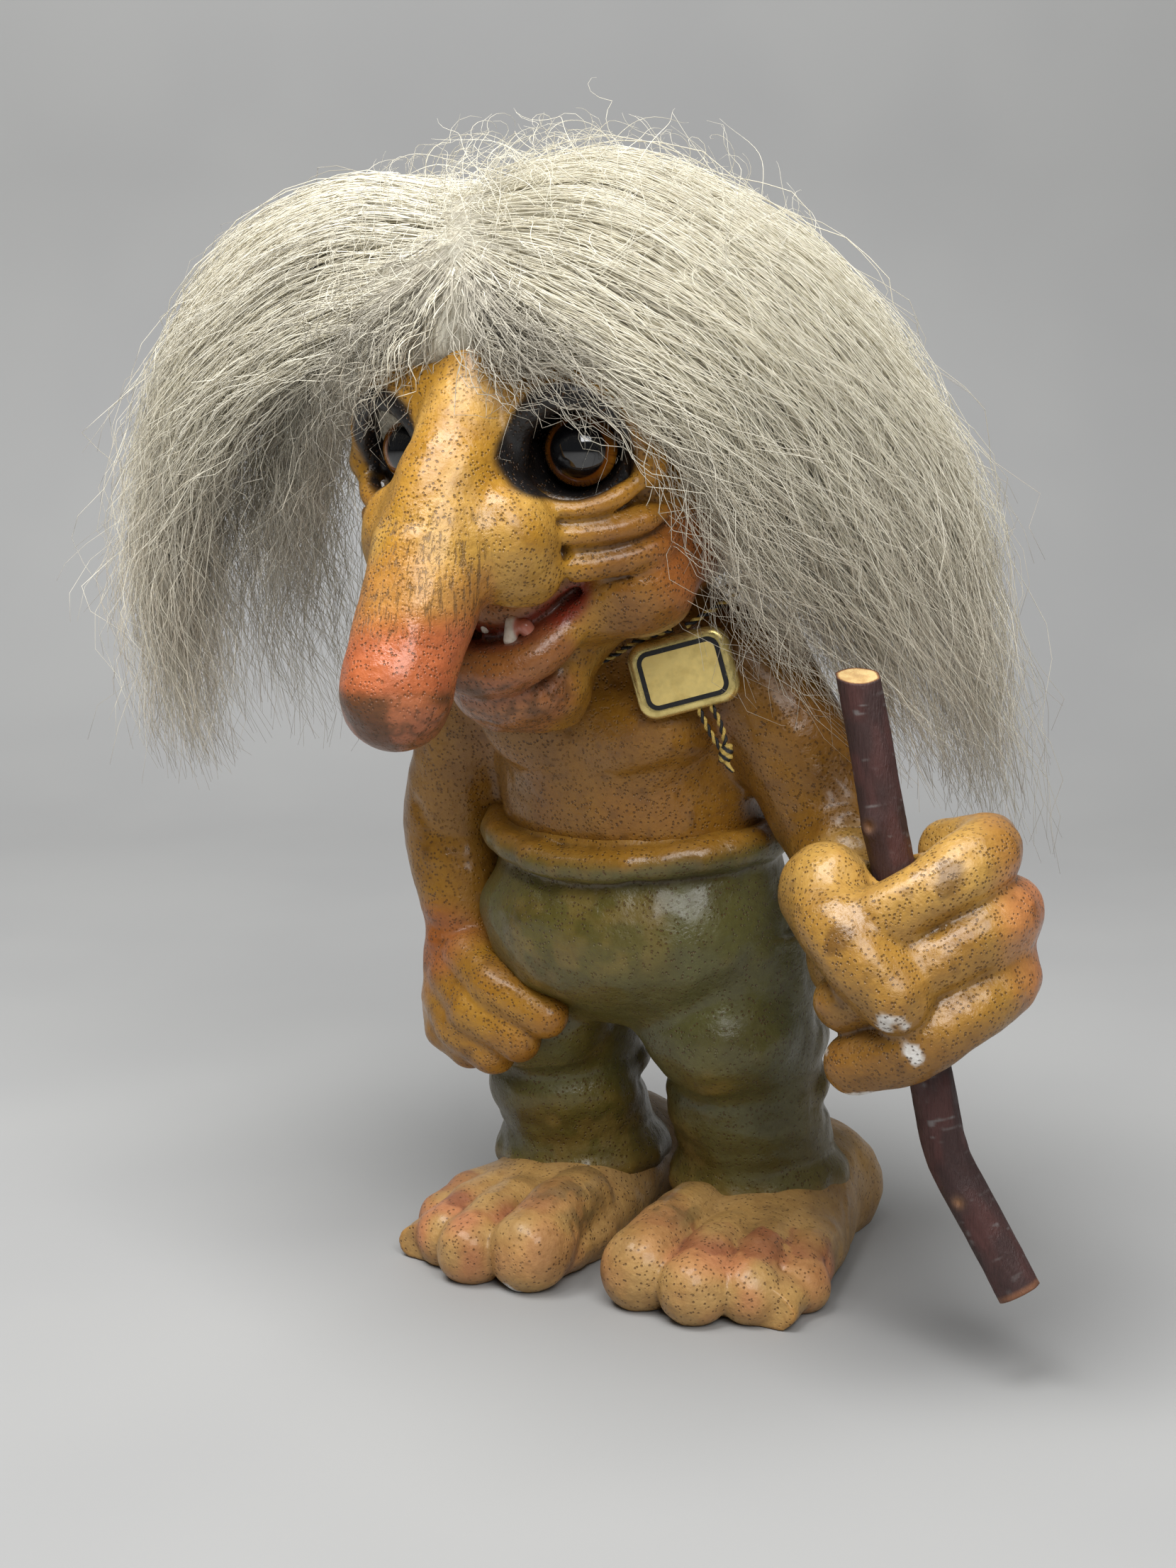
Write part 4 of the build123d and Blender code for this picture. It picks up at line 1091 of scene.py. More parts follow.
def add_staff():
    line, steps = staff_line()
    side = np.array((0.0, 1.0, 0.0))
    other = unit(np.cross(unit(np.gradient(line, axis=0)), side))
    turns = np.linspace(0, 2 * pi, STAFF_SIDES, endpoint=False)
    spoke = other[:, None, :] * np.cos(turns)[None, :, None] + side * np.sin(turns)[None, :, None]
    radius = np.full((STAFF_ROWS, STAFF_SIDES), STAFF_RADIUS) - 0.25
    around = STAFF_RADIUS * np.stack([np.cos(turns), np.sin(turns)], 1)
    down = np.repeat(steps, STAFF_SIDES)
    flat = np.hstack([np.tile(around, (STAFF_ROWS, 1)), down[:, None] / 5])
    bark = 0.20 * cloud(flat, 2.2, 81) + 0.10 * cloud(flat * 3, 1.5, 82)
    radius += bark.reshape(radius.shape)
    knot_cover = np.zeros_like(radius)
    for place, angle, height, size in KNOTS:
        swing = (turns - radians(angle) + pi) % (2 * pi) - pi
        gap = ((steps[:, None] - place) / size) ** 2 + (swing[None, :] * STAFF_RADIUS / size) ** 2
        radius += height * np.exp(-gap) - 1.2 * height * np.exp(-gap * 9)
        knot_cover = np.maximum(knot_cover, np.exp(-gap * 7))
    points = line[:, None, :] + spoke * radius[:, :, None]
    slant = -((points[0] - STAFF_TOP) @ SAW_NORMAL) / (staff_axis @ SAW_NORMAL)
    ease = fade(steps, 0.0, 9.0)[:, None, None]
    points = points + slant[None, :, None] * staff_axis * ease
    shade = cloud(flat * (1, 1, 2.5), 3.0, 83)
    streak = cloud(flat * (0.5, 0.5, 9), 1.2, 84)
    coat = Coat(points.reshape(-1, 3), BARK)
    coat.brush((0.075, 0.024, 0.020), 0.8 * fade(shade, 0.5, -0.2))
    coat.brush((0.17, 0.155, 0.15), 0.75 * fade(streak, 0.85, 0.55) * fade(shade, 0.3, -0.4))
    coat.brush((0.30, 0.15, 0.07), 0.9 * knot_cover.ravel())
    coat.brush((0.22, 0.09, 0.04), 0.8 * fade(down, steps[-1] - 0.8, steps[-1] - 1.6))
    skin = [points.reshape(-1, 3)]
    colours = [coat.colours]
    faces = [tube_faces(STAFF_ROWS, STAFF_SIDES)[:, [0, 3, 2, 1]]]
    here = np.arange(STAFF_SIDES)
    ahead = (here + 1) % STAFF_SIDES
    count = STAFF_ROWS * STAFF_SIDES
    for end, flip in ((0, False), (STAFF_ROWS - 1, True)):
        rim = points[end]
        middle = rim.mean(0)
        outer = end * STAFF_SIDES
        for share in CUT_RINGS:
            ring_points = middle + (rim - middle) * share
            wood_tint = cloud(ring_points, 1.6, 85)
            cut = Coat(ring_points, (0.82, 0.60, 0.27))
            cut.brush((0.55, 0.30, 0.10), 0.5 * fade(wood_tint, 0.6, -0.1))
            if share > 0.88:
                cut.brush((0.35, 0.16, 0.06), np.ones(STAFF_SIDES))
            if share < 0.2:
                cut.brush((0.62, 0.40, 0.17), np.ones(STAFF_SIDES))
            skin.append(ring_points)
            colours.append(cut.colours)
            quads = np.stack([outer + here, outer + ahead, count + ahead, count + here], 1)
            faces.append(quads[:, ::-1] if flip else quads)
            outer = count
            count += STAFF_SIDES
    mesh = mesh_of("twig_staff", np.vstack(skin), np.vstack(faces), {"paint": np.vstack(colours)})
    link("twig_staff", mesh, wood(), "staff", ("staff",))


# Tag: the CAD case, border and panel, in brushed brass and black enamel
def brass(name, colour, worn, rough):
    nodes = Nodes(name)
    brushed = nodes.noise(1.0, 4.0, 0.6, nodes.stretched((300.0, 2600.0, 900.0), (0, 15, 20)))
    tarnish = nodes.noise(220.0, 4.0)
    tint = nodes.mix(nodes.ramp(tarnish, 0.45, 0.75, 0.0, 0.7), colour, worn)
    nodes.set(Base_Color=tint, Metallic=0.82, Roughness=nodes.ramp(brushed, 0.3, 0.7, rough, rough + 0.16))
    nodes.set(Normal=nodes.bump(nodes.noise(500.0, 4.0), 0.12, 0.0006))
    return nodes.material


def enamel_line():
    nodes = Nodes("enamel_line")
    worn = nodes.ramp(nodes.noise(900.0, 3.0), 0.62, 0.75)
    nodes.set(Base_Color=nodes.mix(worn, (0.010, 0.010, 0.011), (0.09, 0.08, 0.05)))
    nodes.set(Roughness=nodes.ramp(nodes.noise(400.0), 0.3, 0.7, 0.22, 0.45))
    return nodes.material


def dress(node, material):
    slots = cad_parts[node].data.materials
    slots.clear()
    slots.append(material)


def add_tag():
    dress("tag_case", brass("tag_brass", (0.80, 0.64, 0.25), (0.46, 0.35, 0.11), 0.24))
    dress("tag_panel", brass("panel_brass", (0.92, 0.72, 0.27), (0.62, 0.46, 0.15), 0.42))
    dress("tag_border", enamel_line())


# Cord: two strands, dark and gold, twisted along the routes that the CAD cords follow
CORD_RADIUS = 0.7
STRAND_RADIUS = 0.40
STRAND_SIDES = 8
STRAND_CAP = ((0, 1, 2, 3), (0, 3, 4, 7), (4, 5, 6, 7))  # the faces that close a strand's end
CORD_STEP = 0.28
TWIST = 3.3  # length of one turn of the strands
DARK_THREAD = (0.008, 0.008, 0.010)
GOLD_THREAD = (0.62, 0.43, 0.10)
NECK_ROUTE = (
    (25.0, -41.9, 150.5),
    (18.5, -43.4, 148.8),
    (11.0, -42.2, 144.0),
    (1.5, -42.5, 140.3),
    (-10.0, -41.9, 140.5),
    (-22.0, -39.0, 144.5),
    (-32.5, -32.5, 152.0),
    (-34.0, -19.5, 158.5),
    (-24.5, -4.0, 158.0),
    (-8.5, 3.4, 154.5),
    (8.5, 3.4, 154.5),
    (24.0, -5.0, 158.0),
    (33.0, -18.0, 160.0),
    (36.0, -29.0, 159.0),
    (33.5, -37.0, 155.5),
    (27.8, -40.9, 151.3),
)
TAG_CENTRE = np.array((27.4, -41.0, 141.5))
TAG_TURN = radians(20.0)
TAG_ROLL = radians(15.5)
TAG_HEIGHT = 16.5
TAG_RIM = 1.7
TAIL_STARTS = (1.0, 3.2)
TAIL_MIDDLES = (1.6, 6.0)
TAIL_END = 4.2
TAIL_CLOSING = 0.1
TAIL_BOW = 5.8
TAIL_LENGTH = 10.5


def smooth_line(points):
    """Points along the smooth curve that has the given ones as its control points."""
    curve = bpy.data.curves.new("route", "CURVE")
    curve.dimensions = "3D"
    spline = curve.splines.new("NURBS")
    spline.points.add(len(points) - 1)
    for spot, point in zip(spline.points, points):
        spot.co = (*point, 1.0)
    spline.order_u = 3
    spline.use_endpoint_u = True
    spline.resolution_u = 24
    carrier = bpy.data.objects.new("route", curve)
    mesh = bpy.data.meshes.new_from_object(carrier)
    line = np.array([vertex.co for vertex in mesh.vertices], float)
    bpy.data.objects.remove(carrier)
    bpy.data.meshes.remove(mesh)
    bpy.data.curves.remove(curve)
    return line


def even_line(line, step):
    """The same line with its points at about the given step, and their distances along it."""
    return spaced(line, max(int(distances(line)[-1] / step), 4))


def joined(parts):
    """Several sets of points, faces and colours as one."""
    points, faces, colours = zip(*parts)
    starts = np.cumsum([0] + [len(part) for part in points])
    faces = [part + start for part, start in zip(faces, starts)]
    return np.vstack(points), np.vstack(faces), np.vstack(colours)


def twisted(line):
    """A dark and a gold strand wound about a line: their points, faces and colours."""
    line, places = even_line(line, CORD_STEP)
    along = unit(np.gradient(line, axis=0))
    side = np.cross(along[0], (0.31, 0.47, 0.83))
    sides = []
    for ahead in along:
        side = unit(side - ahead * (side @ ahead))
        sides.append(side)
    sides = np.array(sides)
    others = np.cross(along, sides)
    turns = np.linspace(0, 2 * pi, STRAND_SIDES, endpoint=False)[None, :, None]
    spokes = sides[:, None] * np.cos(turns) + others[:, None] * np.sin(turns)
    count = len(line) * STRAND_SIDES
    cap = np.array(STRAND_CAP)
    faces = np.vstack([tube_faces(len(line), STRAND_SIDES), cap[:, ::-1], cap + count - STRAND_SIDES])
    strands = []
    for number, tint in enumerate((DARK_THREAD, GOLD_THREAD)):
        phase = (2 * pi * places / TWIST + pi * number)[:, None]
        core = line + (CORD_RADIUS - STRAND_RADIUS) * (sides * np.cos(phase) + others * np.sin(phase))
        points = (core[:, None] + STRAND_RADIUS * spokes).reshape(-1, 3)
        strands.append((points, faces, np.tile(tint, (count, 1))))
    return joined(strands)


def thread():
    nodes = Nodes("thread")
    paint = nodes.read("paint")
    fibre = nodes.noise(4200.0, 3.0, 0.7)
    colour = nodes.mix(nodes.ramp(fibre, 0.35, 0.7, 0.0, 0.6), paint, (0.25, 0.2, 0.12), "MULTIPLY")
    nodes.set(Base_Color=colour, Roughness=nodes.ramp(fibre, 0.3, 0.7, 0.4, 0.7))
    nodes.set(Normal=nodes.bump(fibre, 0.5, 0.0003))
    return nodes.material


def on_tag(across, up):
    """A point in the middle of the tag's thickness."""
    front = np.array((sin(TAG_TURN), -cos(TAG_TURN), 0.0))
    level = np.array((cos(TAG_TURN), sin(TAG_TURN), 0.0))
    wide = level * cos(TAG_ROLL) + np.array((0, 0, sin(TAG_ROLL)))
    return TAG_CENTRE + wide * across + np.cross(front, wide) * up


def add_neck_cord(material):
    line = smooth_line(NECK_ROUTE)
    points, faces, colours = twisted(line)
    mesh = mesh_of("twisted_cord", points, faces, {"paint": colours})
    cord = link("twisted_cord", mesh, material, "figure", ("neck_cord",))


def add_tails(material):
    below = -TAG_HEIGHT / 2
    tails = []
    for start, middle in zip(TAIL_STARTS, TAIL_MIDDLES):
        end = TAIL_END + (start - middle) * TAIL_CLOSING
        places = ((start, below + TAG_RIM), (middle, below - TAIL_BOW), (end, below - TAIL_LENGTH))
        tails.append(twisted(smooth_line([on_tag(across, up) for across, up in places])))
    points, faces, colours = joined(tails)
    mesh = mesh_of("cord_tails", points, faces, {"paint": colours})
    link("cord_tails", mesh, material, "tag", ("cord_tail",))


def add_knot(material):
    """Three turns of thread about the ends of the tails, and the end that hangs out of them."""
    middle = on_tag(TAIL_END, -TAG_HEIGHT / 2 - TAIL_LENGTH)
    clay = Clay(middle - 5, middle + 5, step=0.25)
    turns = np.linspace(0, 2 * pi, 15)
    for lift, radius in ((-1.1, 1.0), (0.1, 1.1), (1.2, 0.9)):
        loop = [middle + (radius * cos(t), 0.8 * radius * sin(t), lift + 0.4 * cos(t)) for t in turns]
        clay.join(rod(loop, 0.62), 0.2)
    end = [middle, middle + (0.6, -0.2, -2.6), middle + (1.9, -0.5, -3.6)]
    clay.join(rod(end, (0.7, 0.6, 0.4)), 0.3)
    points, quads = clay.surface()
    coat = Coat(points, DARK_THREAD)
    coat.brush(GOLD_THREAD, fade(np.sin(3.1 * points[:, 2] + 2.2 * points[:, 0]), 0.2, -0.2))
    mesh = mesh_of("cord_knot_tied", points, quads, {"paint": coat.colours})
    link("cord_knot_tied", mesh, material, "tag", ("cord_knot",))


def add_cord():
    material = thread()
    add_neck_cord(material)
    add_tails(material)
    add_knot(material)


# Hair: a padded wig under long wavy locks that fall from the parting, loose at the tips.
# Each guide is a route from root to tip. The guides of a fall stand in order round the head, and its
# locks lie between them.
LEFT_GUIDES = (
    ((-2, -74, 220), (17, -77, 207), (32, -70, 196), (38, -57, 180), (41, -44, 161), (47, -25, 134)),
    ((-5, -68, 228), (18, -68, 222), (38, -60, 208), (47, -46, 188), (52, -31, 163), (63, -8, 122)),
    ((-9, -62, 232), (16, -58, 232), (39, -48, 216), (52, -34, 193), (61, -20, 162), (75, 1, 110)),
    ((-14, -45, 240), (9, -38, 243), (36, -28, 228), (54, -12, 206), (66, 4, 177), (79, 23, 86)),
    ((-8, -25, 242), (14, -15, 240), (38, -2, 224), (52, 10, 196), (58, 20, 165), (58, 27, 112)),
)
RIGHT_GUIDES = (
    (
        (-8, -74, 216), (-21, -76, 208), (-43, -72, 204), (-69, -64, 194),
        (-89, -58, 176), (-101, -54, 154), (-108, -48, 114),
    ),
    (
        (-12, -66, 229), (-38, -62, 233), (-66, -58, 224), (-90, -54, 208),
        (-102, -50, 186), (-106, -47, 157), (-101, -44, 100),
    ),
    (
        (-22, -50, 238), (-50, -45, 243), (-80, -42, 234), (-98, -38, 216),
        (-107, -36, 192), (-108, -34, 165), (-101, -37, 116),
    ),
    (
        (-14, -20, 241), (-42, -14, 238), (-68, -8, 222), (-84, -4, 198),
        (-90, -2, 172), (-90, 0, 148), (-84, 3, 110),
    ),
)
INNER_GUIDES = (
    ((-14, -68, 222), (-34, -68, 210), (-46, -62, 194), (-53, -57, 172), (-57, -54, 146)),
    ((-18, -62, 226), (-42, -60, 214), (-60, -55, 194), (-70, -52, 168), (-77, -50, 138)),
    ((-22, -50, 228), (-48, -46, 216), (-68, -42, 196), (-82, -40, 170), (-90, -40, 136)),
    ((-20, -30, 232), (-46, -22, 218), (-62, -14, 196), (-70, -8, 170), (-72, -6, 140)),
)
LEFT_FRINGE = (
    ((-2, -74, 222), (3, -81, 213), (8, -84, 207), (14, -85, 202), (20, -84, 197)),
    ((-3, -73, 223), (7, -80, 214), (17, -83, 207), (27, -79, 200), (33, -71, 190)),
    ((-4, -72, 225), (12, -78, 216), (26, -76, 206), (36, -68, 194), (40, -59, 178)),
)
RIGHT_FRINGE = (
    ((-6, -74, 222), (-9, -81, 213), (-13, -84, 207), (-18, -84, 202), (-24, -82, 196)),
    ((-7, -73, 223), (-14, -80, 215), (-24, -80, 207), (-33, -74, 198), (-39, -66, 187)),
    ((-8, -72, 225), (-20, -78, 216), (-34, -74, 207), (-45, -66, 195), (-52, -58, 178)),
)
BACK_GUIDES = (
    ((10, 0, 236), (40, 14, 218), (52, 24, 190), (52, 30, 160), (46, 31, 132)),
    ((0, 0, 240), (18, 18, 222), (26, 30, 192), (26, 34, 160), (22, 33, 126)),
    ((-6, 0, 240), (-14, 18, 222), (-18, 30, 192), (-20, 34, 160), (-18, 33, 124)),
    ((-14, -4, 238), (-42, 10, 216), (-54, 20, 188), (-56, 26, 160), (-50, 28, 130)),
)
HAZE_GUIDES = (
    ((-18, -58, 230), (-44, -54, 240), (-70, -50, 238), (-90, -46, 226), (-100, -44, 205)),
    ((-22, -42, 234), (-50, -36, 242), (-76, -32, 238), (-94, -30, 224), (-102, -28, 202)),
    ((-18, -20, 236), (-42, -12, 240), (-66, -8, 231), (-84, -6, 213), (-92, -4, 192)),
)
CROWN_CENTRE = np.array((-6.0, -37.0, 208.0))
CROWN_RADII = np.array((53.0, 49.0, 39.0))
CREAM = np.array((0.97, 0.92, 0.76))
GREY = np.array((0.33, 0.30, 0.24))
TIP_BROWN = np.array((0.38, 0.29, 0.20))
ROOT_LIFT = 3.0  # of the roots above the guides
GUIDE_ROWS = 60
LATE_ROOT = 0.3  # farthest down its guides that a lock starts, as a share of them
SHORT_LOCK = 0.64  # where the shortest lock ends, as a share of its guides
STRAND_SHORTFALL = 0.22  # the most that a strand ends before its lock
LOCK_SPREAD = 0.09  # of strands about their lock, in gaps between guides
FRIZZ_WAVES = (1.6, 3.5, 6.5)  # along a strand
TIP_START = 0.60  # where strands begin to turn brown
STRAND_POINTS = 20
STRAND_TAPER = 0.72  # share of a strand's radius that is gone at its tip
LOCK_STRANDS = 26
LOOSE_SHARE = 0.3  # of the strands
LOOSE_REACH = 2.0  # of a loose strand, as a multiple of the others'
PIECE_STRANDS = 1690  # the most in one mesh
HAIR_RADIUS = 0.12
FLUFF_RADIUS = 0.09
FLUFF_STRANDS = 650
FLUFF_SEEDS = (104, 108)
WIG_AXIS = (-4.0, -32.0)  # x and y of the upright line that hair stands off
WIG_TOP = 205.0  # upper end of that line
# Name, guides, locks, seed, wave, frizz, depth, lift, share of grey locks and radius of a strand
FALLS = (
    ("hair_left", LEFT_GUIDES, 175, 101, 4.2, 3.2, 10.0, 8.0, 0.07, HAIR_RADIUS),
    ("hair_right", RIGHT_GUIDES, 150, 102, 5.0, 3.4, 13.0, 5.0, 0.09, HAIR_RADIUS),
    ("hair_back", BACK_GUIDES, 130, 103, 3.8, 2.6, 7.0, 9.0, 0.08, HAIR_RADIUS),
    ("hair_inner", INNER_GUIDES, 16, 105, 4.6, 3.4, 8.0, 0.0, 0.3, HAIR_RADIUS),
    ("hair_haze", HAZE_GUIDES, 15, 109, 6.0, 3.2, 6.0, 2.0, 0.6, FLUFF_RADIUS),
    ("fringe_left", LEFT_FRINGE, 22, 106, 2.0, 1.6, 3.0, 1.0, 0.75, HAIR_RADIUS),
    ("fringe_right", RIGHT_FRINGE, 20, 107, 2.0, 1.6, 3.0, 1.0, 0.75, HAIR_RADIUS),
)
# Guides that the under-hair follows and how far: the rear edge of the right fall hangs free of it
PAD_GUIDES = ((LEFT_GUIDES, 0.58), (RIGHT_GUIDES[:3], 0.45), (BACK_GUIDES, 0.72))
PAD_POINTS = 24


def outward_of(points):
    """The direction away from the head and the body's upright axis."""
    middle = np.zeros_like(points) + (*WIG_AXIS, 0.0)
    middle[..., 2] = np.minimum(points[..., 2], WIG_TOP)
    return unit(points - middle)


def strands_between(guides, locks, seed, wave, frizz, depth, lift, grey_share):
    """Strands in locks that follow the guides, as points (strand, step, axis) and colours alike."""
    dice = np.random.default_rng(seed)
    rows = np.array([spaced(flow(guide, 80), GUIDE_ROWS)[0] for guide in guides])
    count = locks * LOCK_STRANDS

    def each(values):
        return np.repeat(values, LOCK_STRANDS)

    share = each(dice.uniform(0, len(guides) - 1, locks)) + dice.normal(0, LOCK_SPREAD, count)
    share = np.clip(share, 0, len(guides) - 1.001)
    start = each(dice.uniform(0, 1, locks) ** 3 * LATE_ROOT)
    end = each(SHORT_LOCK + (1 - SHORT_LOCK) * dice.uniform(0, 1, locks) ** 0.8)
    end = end - dice.uniform(0, 1, count) ** 2 * STRAND_SHORTFALL
    steps = np.linspace(0, 1, STRAND_POINTS)
    at = (start[:, None] + (end - start)[:, None] * steps) * (GUIDE_ROWS - 1)
    base = np.minimum(at.astype(int), GUIDE_ROWS - 2)
    part = (at - base)[..., None]
    low = share.astype(int)[:, None]
    mix = (share - share.astype(int))[:, None, None]
    first = rows[low, base] * (1 - part) + rows[low, base + 1] * part
    second = rows[low + 1, base] * (1 - part) + rows[low + 1, base + 1] * part
    points = first * (1 - mix) + second * mix
    out = outward_of(points)
    side = np.cross(unit(np.gradient(points, axis=1)), out)
    grown = steps[None, :, None]
    layer = each(dice.uniform(0, 1, locks)) * depth
    points = points + out * (ROOT_LIFT + (lift - ROOT_LIFT - layer[:, None, None]) * np.sqrt(grown))
    loose = np.where(dice.random(count) < LOOSE_SHARE, LOOSE_REACH, 1.0)[:, None]
    spread = dice.uniform(-1.7, 1.7, (count, 1, 2)) * (1.2 + 2.6 * grown) * loose[..., None]
    points = points + side * spread[..., :1] + out * spread[..., 1:] * 0.8
    coils = each(dice.uniform(1.2, 3.4, locks))[:, None]
    turn = coils * 2 * pi * steps + each(dice.uniform(0, 2 * pi, locks))[:, None]
    size = (each(dice.uniform(0.4, 1.0, locks)) * wave)[:, None] * (0.12 + steps) ** 1.2
    points = points + (size * np.cos(turn))[..., None] * side + (0.7 * size * np.sin(turn))[..., None] * out
    for waves in FRIZZ_WAVES:
        phase = dice.uniform(0, 2 * pi, (count, 2, 1))
        speed = dice.uniform(0.7, 1.4, (count, 2, 1)) * waves * 2 * pi
        height = dice.uniform(-1.5, 1.5, (count, 2, 1)) * frizz / waves**0.7 * loose[..., None]
        stray = np.sin(speed * steps + phase) * height * steps**1.1
        points = points + stray[:, 0, :, None] * side + stray[:, 1, :, None] * out
    cream = dice.uniform(0.80, 1.04, (count, 1, 1)) * CREAM
    # Painted shade: locks lying deeper in the hair are painted greyer.
    deep = np.clip(layer / depth, 0, 1)[:, None, None] ** 2
    colours = cream * (1 - 0.3 * deep) + GREY * 0.3 * deep
    tip = fade(steps, 1.0, TIP_START)[None, :, None] * dice.uniform(0.1, 1.0, (count, 1, 1))
    colours = colours * (1 - 0.8 * tip) + TIP_BROWN * 0.8 * tip
    grey = (each(dice.random(locks)) < grey_share)[:, None, None] * 0.8
    return points, colours * (1 - grey) + GREY * grey


def fluff(count, seed):
    """Short fine curls that stand off the crown."""
    dice = np.random.default_rng(seed)
    aim = dice.normal(0, 1, (count, 3)) * (1.0, 0.9, 0.6) + (0, 0.05, 0.75)
    aim = unit(aim)
    root = CROWN_CENTRE + aim * (CROWN_RADII - 3.0)
    steps = np.linspace(0, 1, STRAND_POINTS)[None, :, None]
    drift = unit(np.cross(aim, dice.normal(0, 1, (count, 3))))
    reach = dice.uniform(12, 31, (count, 1, 1))
    rise = dice.uniform(0.1, 0.38, (count, 1, 1))
    points = root[:, None] + drift[:, None] * reach * steps
    points = points + aim[:, None] * reach * rise * np.sin(pi * 0.7 * steps)
    other = np.cross(aim, drift)[:, None]
    turn = dice.uniform(1.0, 3.0, (count, 1, 1)) * 2 * pi * steps + dice.uniform(0, 6.28, (count, 1, 1))
    size = dice.uniform(0.8, 3.0, (count, 1, 1)) * steps
    points = points + other * size * np.cos(turn) + aim[:, None] * size * np.sin(turn) * 0.7
    colours = np.broadcast_to(CREAM * dice.uniform(0.7, 1.05, (count, 1, 1)), points.shape)
    keep = ~((points[:, -1, 1] < -70) & (points[:, -1, 2] < 212))
    return points[keep], colours[keep]


def strand_mesh(name, points, colours, thick):
    """Closed three-sided tubes along strands, tapering to the tip."""
    count, steps = points.shape[:2]
    along = unit(np.gradient(points, axis=1))
    side = unit(np.cross(along, (0.37, 0.19, 0.91)))
    other = np.cross(along, side)
    taper = thick * (1.0 - STRAND_TAPER * np.linspace(0, 1, steps) ** 2)[None, :, None]
    tubes = []
    for angle in 2 * pi * np.arange(3) / 3:
        tubes.append(points + taper * (side * cos(angle) + other * sin(angle)))
    tubes = np.stack(tubes, 2)
    quads = tube_faces(steps, 3)
    last = 3 * (steps - 1)
    caps = np.array(((0, 2, 1), (last, last + 1, last + 2)))
    faces = np.vstack([quads[:, :3], quads[:, [0, 2, 3]], caps])
    faces = (faces[None] + (np.arange(count) * 3 * steps)[:, None, None]).reshape(-1, 3)
    paint = np.repeat(colours.reshape(-1, 3), 3, axis=0)
    return mesh_of(name, tubes.reshape(-1, 3), faces, {"paint": paint})


def hair_fibre():
    nodes = Nodes("hair_fibre")
    paint = nodes.read("paint")
    worn = nodes.noise(420.0, 3.0)
    colour = nodes.mix(nodes.ramp(worn, 0.4, 0.75, 0.0, 0.2), paint, (0.6, 0.54, 0.42), "MULTIPLY")
    nodes.set(Base_Color=colour, Roughness=nodes.ramp(worn, 0.3, 0.7, 0.42, 0.6), Specular_IOR_Level=0.35)
    nodes.set(Sheen_Weight=0.6, Sheen_Roughness=0.4, Sheen_Tint=(1.0, 0.95, 0.84, 1.0))
    return nodes.material


def hair_pad():
    nodes = Nodes("hair_pad")
    paint = nodes.read("paint")
    fibre = nodes.noise(1.0, 5.0, 0.7, nodes.stretched((1400.0, 1400.0, 160.0)))
    colour = nodes.mix(nodes.ramp(fibre, 0.35, 0.7, 0.0, 0.8), paint, (0.35, 0.30, 0.22), "MULTIPLY")
    nodes.set(Base_Color=colour, Roughness=0.75, Normal=nodes.bump(fibre, 0.8, 0.0012))
    return nodes.material


def add_hair_pad():
    """The matted under-hair on the scalp and in the upper falls, painted darker than the locks as painted
    shade.
    """
    clay = Clay((-118, -88, 118), (82, 44, 250), step=1.3)
    clay.join(ball(CROWN_CENTRE, CROWN_RADII - 4.0), 1.0)
    for guides, length in PAD_GUIDES:
        lines = [flow(guide, PAD_POINTS) for guide in guides]
        for first, second in zip(lines, lines[1:]):
            for mix in (0.0, 0.33, 0.67, 1.0):
                line = (first * (1 - mix) + second * mix)[: int(PAD_POINTS * length)]
                line = line - outward_of(line) * 6.0
                clay.join(rod(line, np.linspace(5.0, 2.6, len(line))), 3.0)
    clay.cut(ball((3, -92, 178), (33, 32, 30)), 3.0)
    clay.roughen(5.0, 0.6, seed=91)
    points, quads = clay.surface()
    # Painted shade: the under-hair is painted at 60% of the locks' cream.
    coat = Coat(points, CREAM * 0.6)
    coat.brush(CREAM * 0.85, fade(cloud(points * (1, 1, 0.3), 3.0, 92), 0.5, -0.5))
    mesh = mesh_of("hair_pad", points, quads, {"paint": coat.colours})
    link("hair_pad", mesh, hair_pad(), "figure", ("hair_crown", "wig_hide"))


def add_hair():
    add_hair_pad()
    material = hair_fibre()
    for name, guides, locks, seed, wave, frizz, depth, lift, grey_share, thick in FALLS:
        points, colours = strands_between(guides, locks, seed, wave, frizz, depth, lift, grey_share)
        nodes = (name,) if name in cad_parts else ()
        parts = np.array_split(np.arange(len(points)), -(-len(points) // PIECE_STRANDS))
        for number, part in enumerate(parts):
            title = f"{name}_strands_{number}"
            mesh = strand_mesh(title, points[part], colours[part], thick)
            link(title, mesh, material, "figure", nodes if number == 0 else ())
    for number, seed in enumerate(FLUFF_SEEDS):
        points, colours = fluff(FLUFF_STRANDS, seed)
        title = f"hair_fluff_{number}"
        link(title, strand_mesh(title, points, colours, FLUFF_RADIUS), material, "figure", ())


# Stage: grey paper that turns up from floor to wall, soft light, and the photograph's camera
CAMERA_AT = (230.8, -449.4, 190.0)
CAMERA_TURN = radians(29.0)
CAMERA_DROP = radians(9.0)
LENS = 50.0
PAPER_TONES = ((0.315, 0.315, 0.313), (0.335, 0.335, 0.33))
SKY_COLOUR = (0.9, 0.95, 1.0, 1.0)
SKY_STRENGTH = 0.08
FLOOR_FRONT = -3.0
FLOOR_BACK = 0.55
FLOOR_CURVE = 0.35  # radius of the turn from floor to wall
WALL_TOP = 2.2
FLOOR_HALF_WIDTH = 5.0
LIGHTS = (  # name, place, target, side and power
    ("key", (-0.15, -0.36, 1.35), (0.0, 0.0, 0.12), 0.9, 28.0),
    ("front", (0.68, -0.74, 0.98), (0.0, 0.0, 0.15), 0.7, 13.0),
)


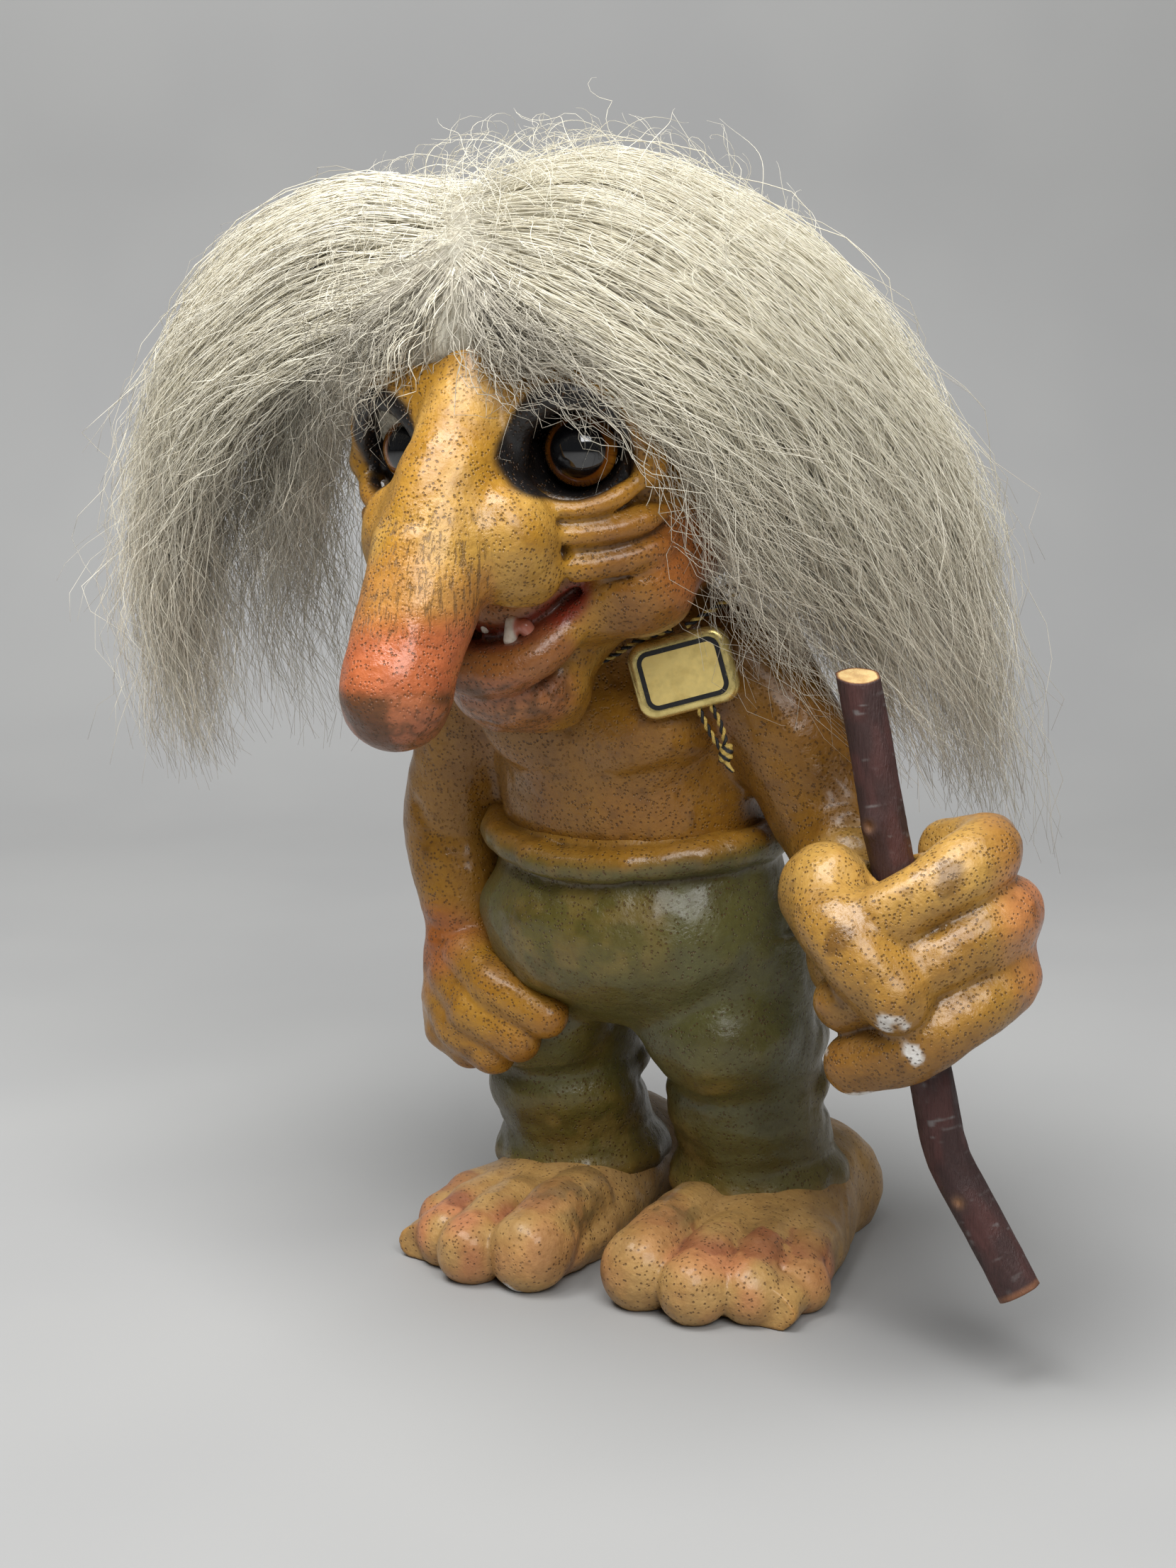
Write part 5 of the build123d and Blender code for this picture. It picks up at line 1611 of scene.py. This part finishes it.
def add_stage():
    profile = [(FLOOR_FRONT, 0.0), (FLOOR_BACK, 0.0)]
    for angle in np.radians(np.linspace(0, 90, 16)[1:]):
        profile.append((FLOOR_BACK + FLOOR_CURVE * sin(angle), FLOOR_CURVE * (1 - cos(angle))))
    profile.append((FLOOR_BACK + FLOOR_CURVE, WALL_TOP))
    turn = np.array(((cos(CAMERA_TURN), sin(CAMERA_TURN)), (-sin(CAMERA_TURN), cos(CAMERA_TURN))))
    rows = []
    for along, up in profile:
        for across in (-FLOOR_HALF_WIDTH, FLOOR_HALF_WIDTH):
            x, y = np.array((across, along)) @ turn
            rows.append((x, y, up))
    faces = [(2 * k, 2 * k + 1, 2 * k + 3, 2 * k + 2) for k in range(len(profile) - 1)]
    mesh = bpy.data.meshes.new("studio_floor")
    mesh.from_pydata(rows, [], faces)
    mesh.polygons.foreach_set("use_smooth", np.ones(len(faces), bool))
    nodes = Nodes("studio_paper")
    tone = nodes.ramp(nodes.noise(6.0, 2.0), 0.3, 0.7)
    nodes.set(Base_Color=nodes.mix(tone, *PAPER_TONES), Roughness=0.7)
    mesh.materials.append(nodes.material)
    floor = bpy.data.objects.new("studio_floor", mesh)
    bpy.context.scene.collection.objects.link(floor)


def add_light(name, place, target, side, power):
    lamp = bpy.data.lights.new(name, "AREA")
    lamp.shape = "SQUARE"
    lamp.size = side
    lamp.energy = power
    holder = bpy.data.objects.new(name, lamp)
    holder.location = place
    holder.rotation_euler = (Vector(target) - Vector(place)).to_track_quat("-Z", "Y").to_euler()
    bpy.context.scene.collection.objects.link(holder)


def add_studio():
    add_stage()
    for light in LIGHTS:
        add_light(*light)
    scene = bpy.context.scene
    scene.world = scene.world or bpy.data.worlds.new("studio")
    scene.world.use_nodes = True
    sky = scene.world.node_tree.nodes["Background"]
    sky.inputs["Color"].default_value = SKY_COLOUR
    sky.inputs["Strength"].default_value = SKY_STRENGTH
    scene.view_settings.view_transform = "Standard"
    camera = bpy.data.cameras.new("camera")
    camera.lens = LENS
    camera.sensor_fit = "VERTICAL"
    camera.sensor_height = 36.0
    camera.clip_start = 0.01
    holder = bpy.data.objects.new("camera", camera)
    holder.location = placed(CAMERA_AT)
    level = cos(CAMERA_DROP)
    forward = Vector((-sin(CAMERA_TURN) * level, cos(CAMERA_TURN) * level, -sin(CAMERA_DROP)))
    holder.rotation_euler = forward.to_track_quat("-Z", "Y").to_euler()
    scene.collection.objects.link(holder)
    scene.camera = holder


add_head()
add_body()
add_trousers()
add_feet()
add_eyes()
add_teeth()
add_staff()
add_tag()
add_cord()
add_hair()
add_studio()
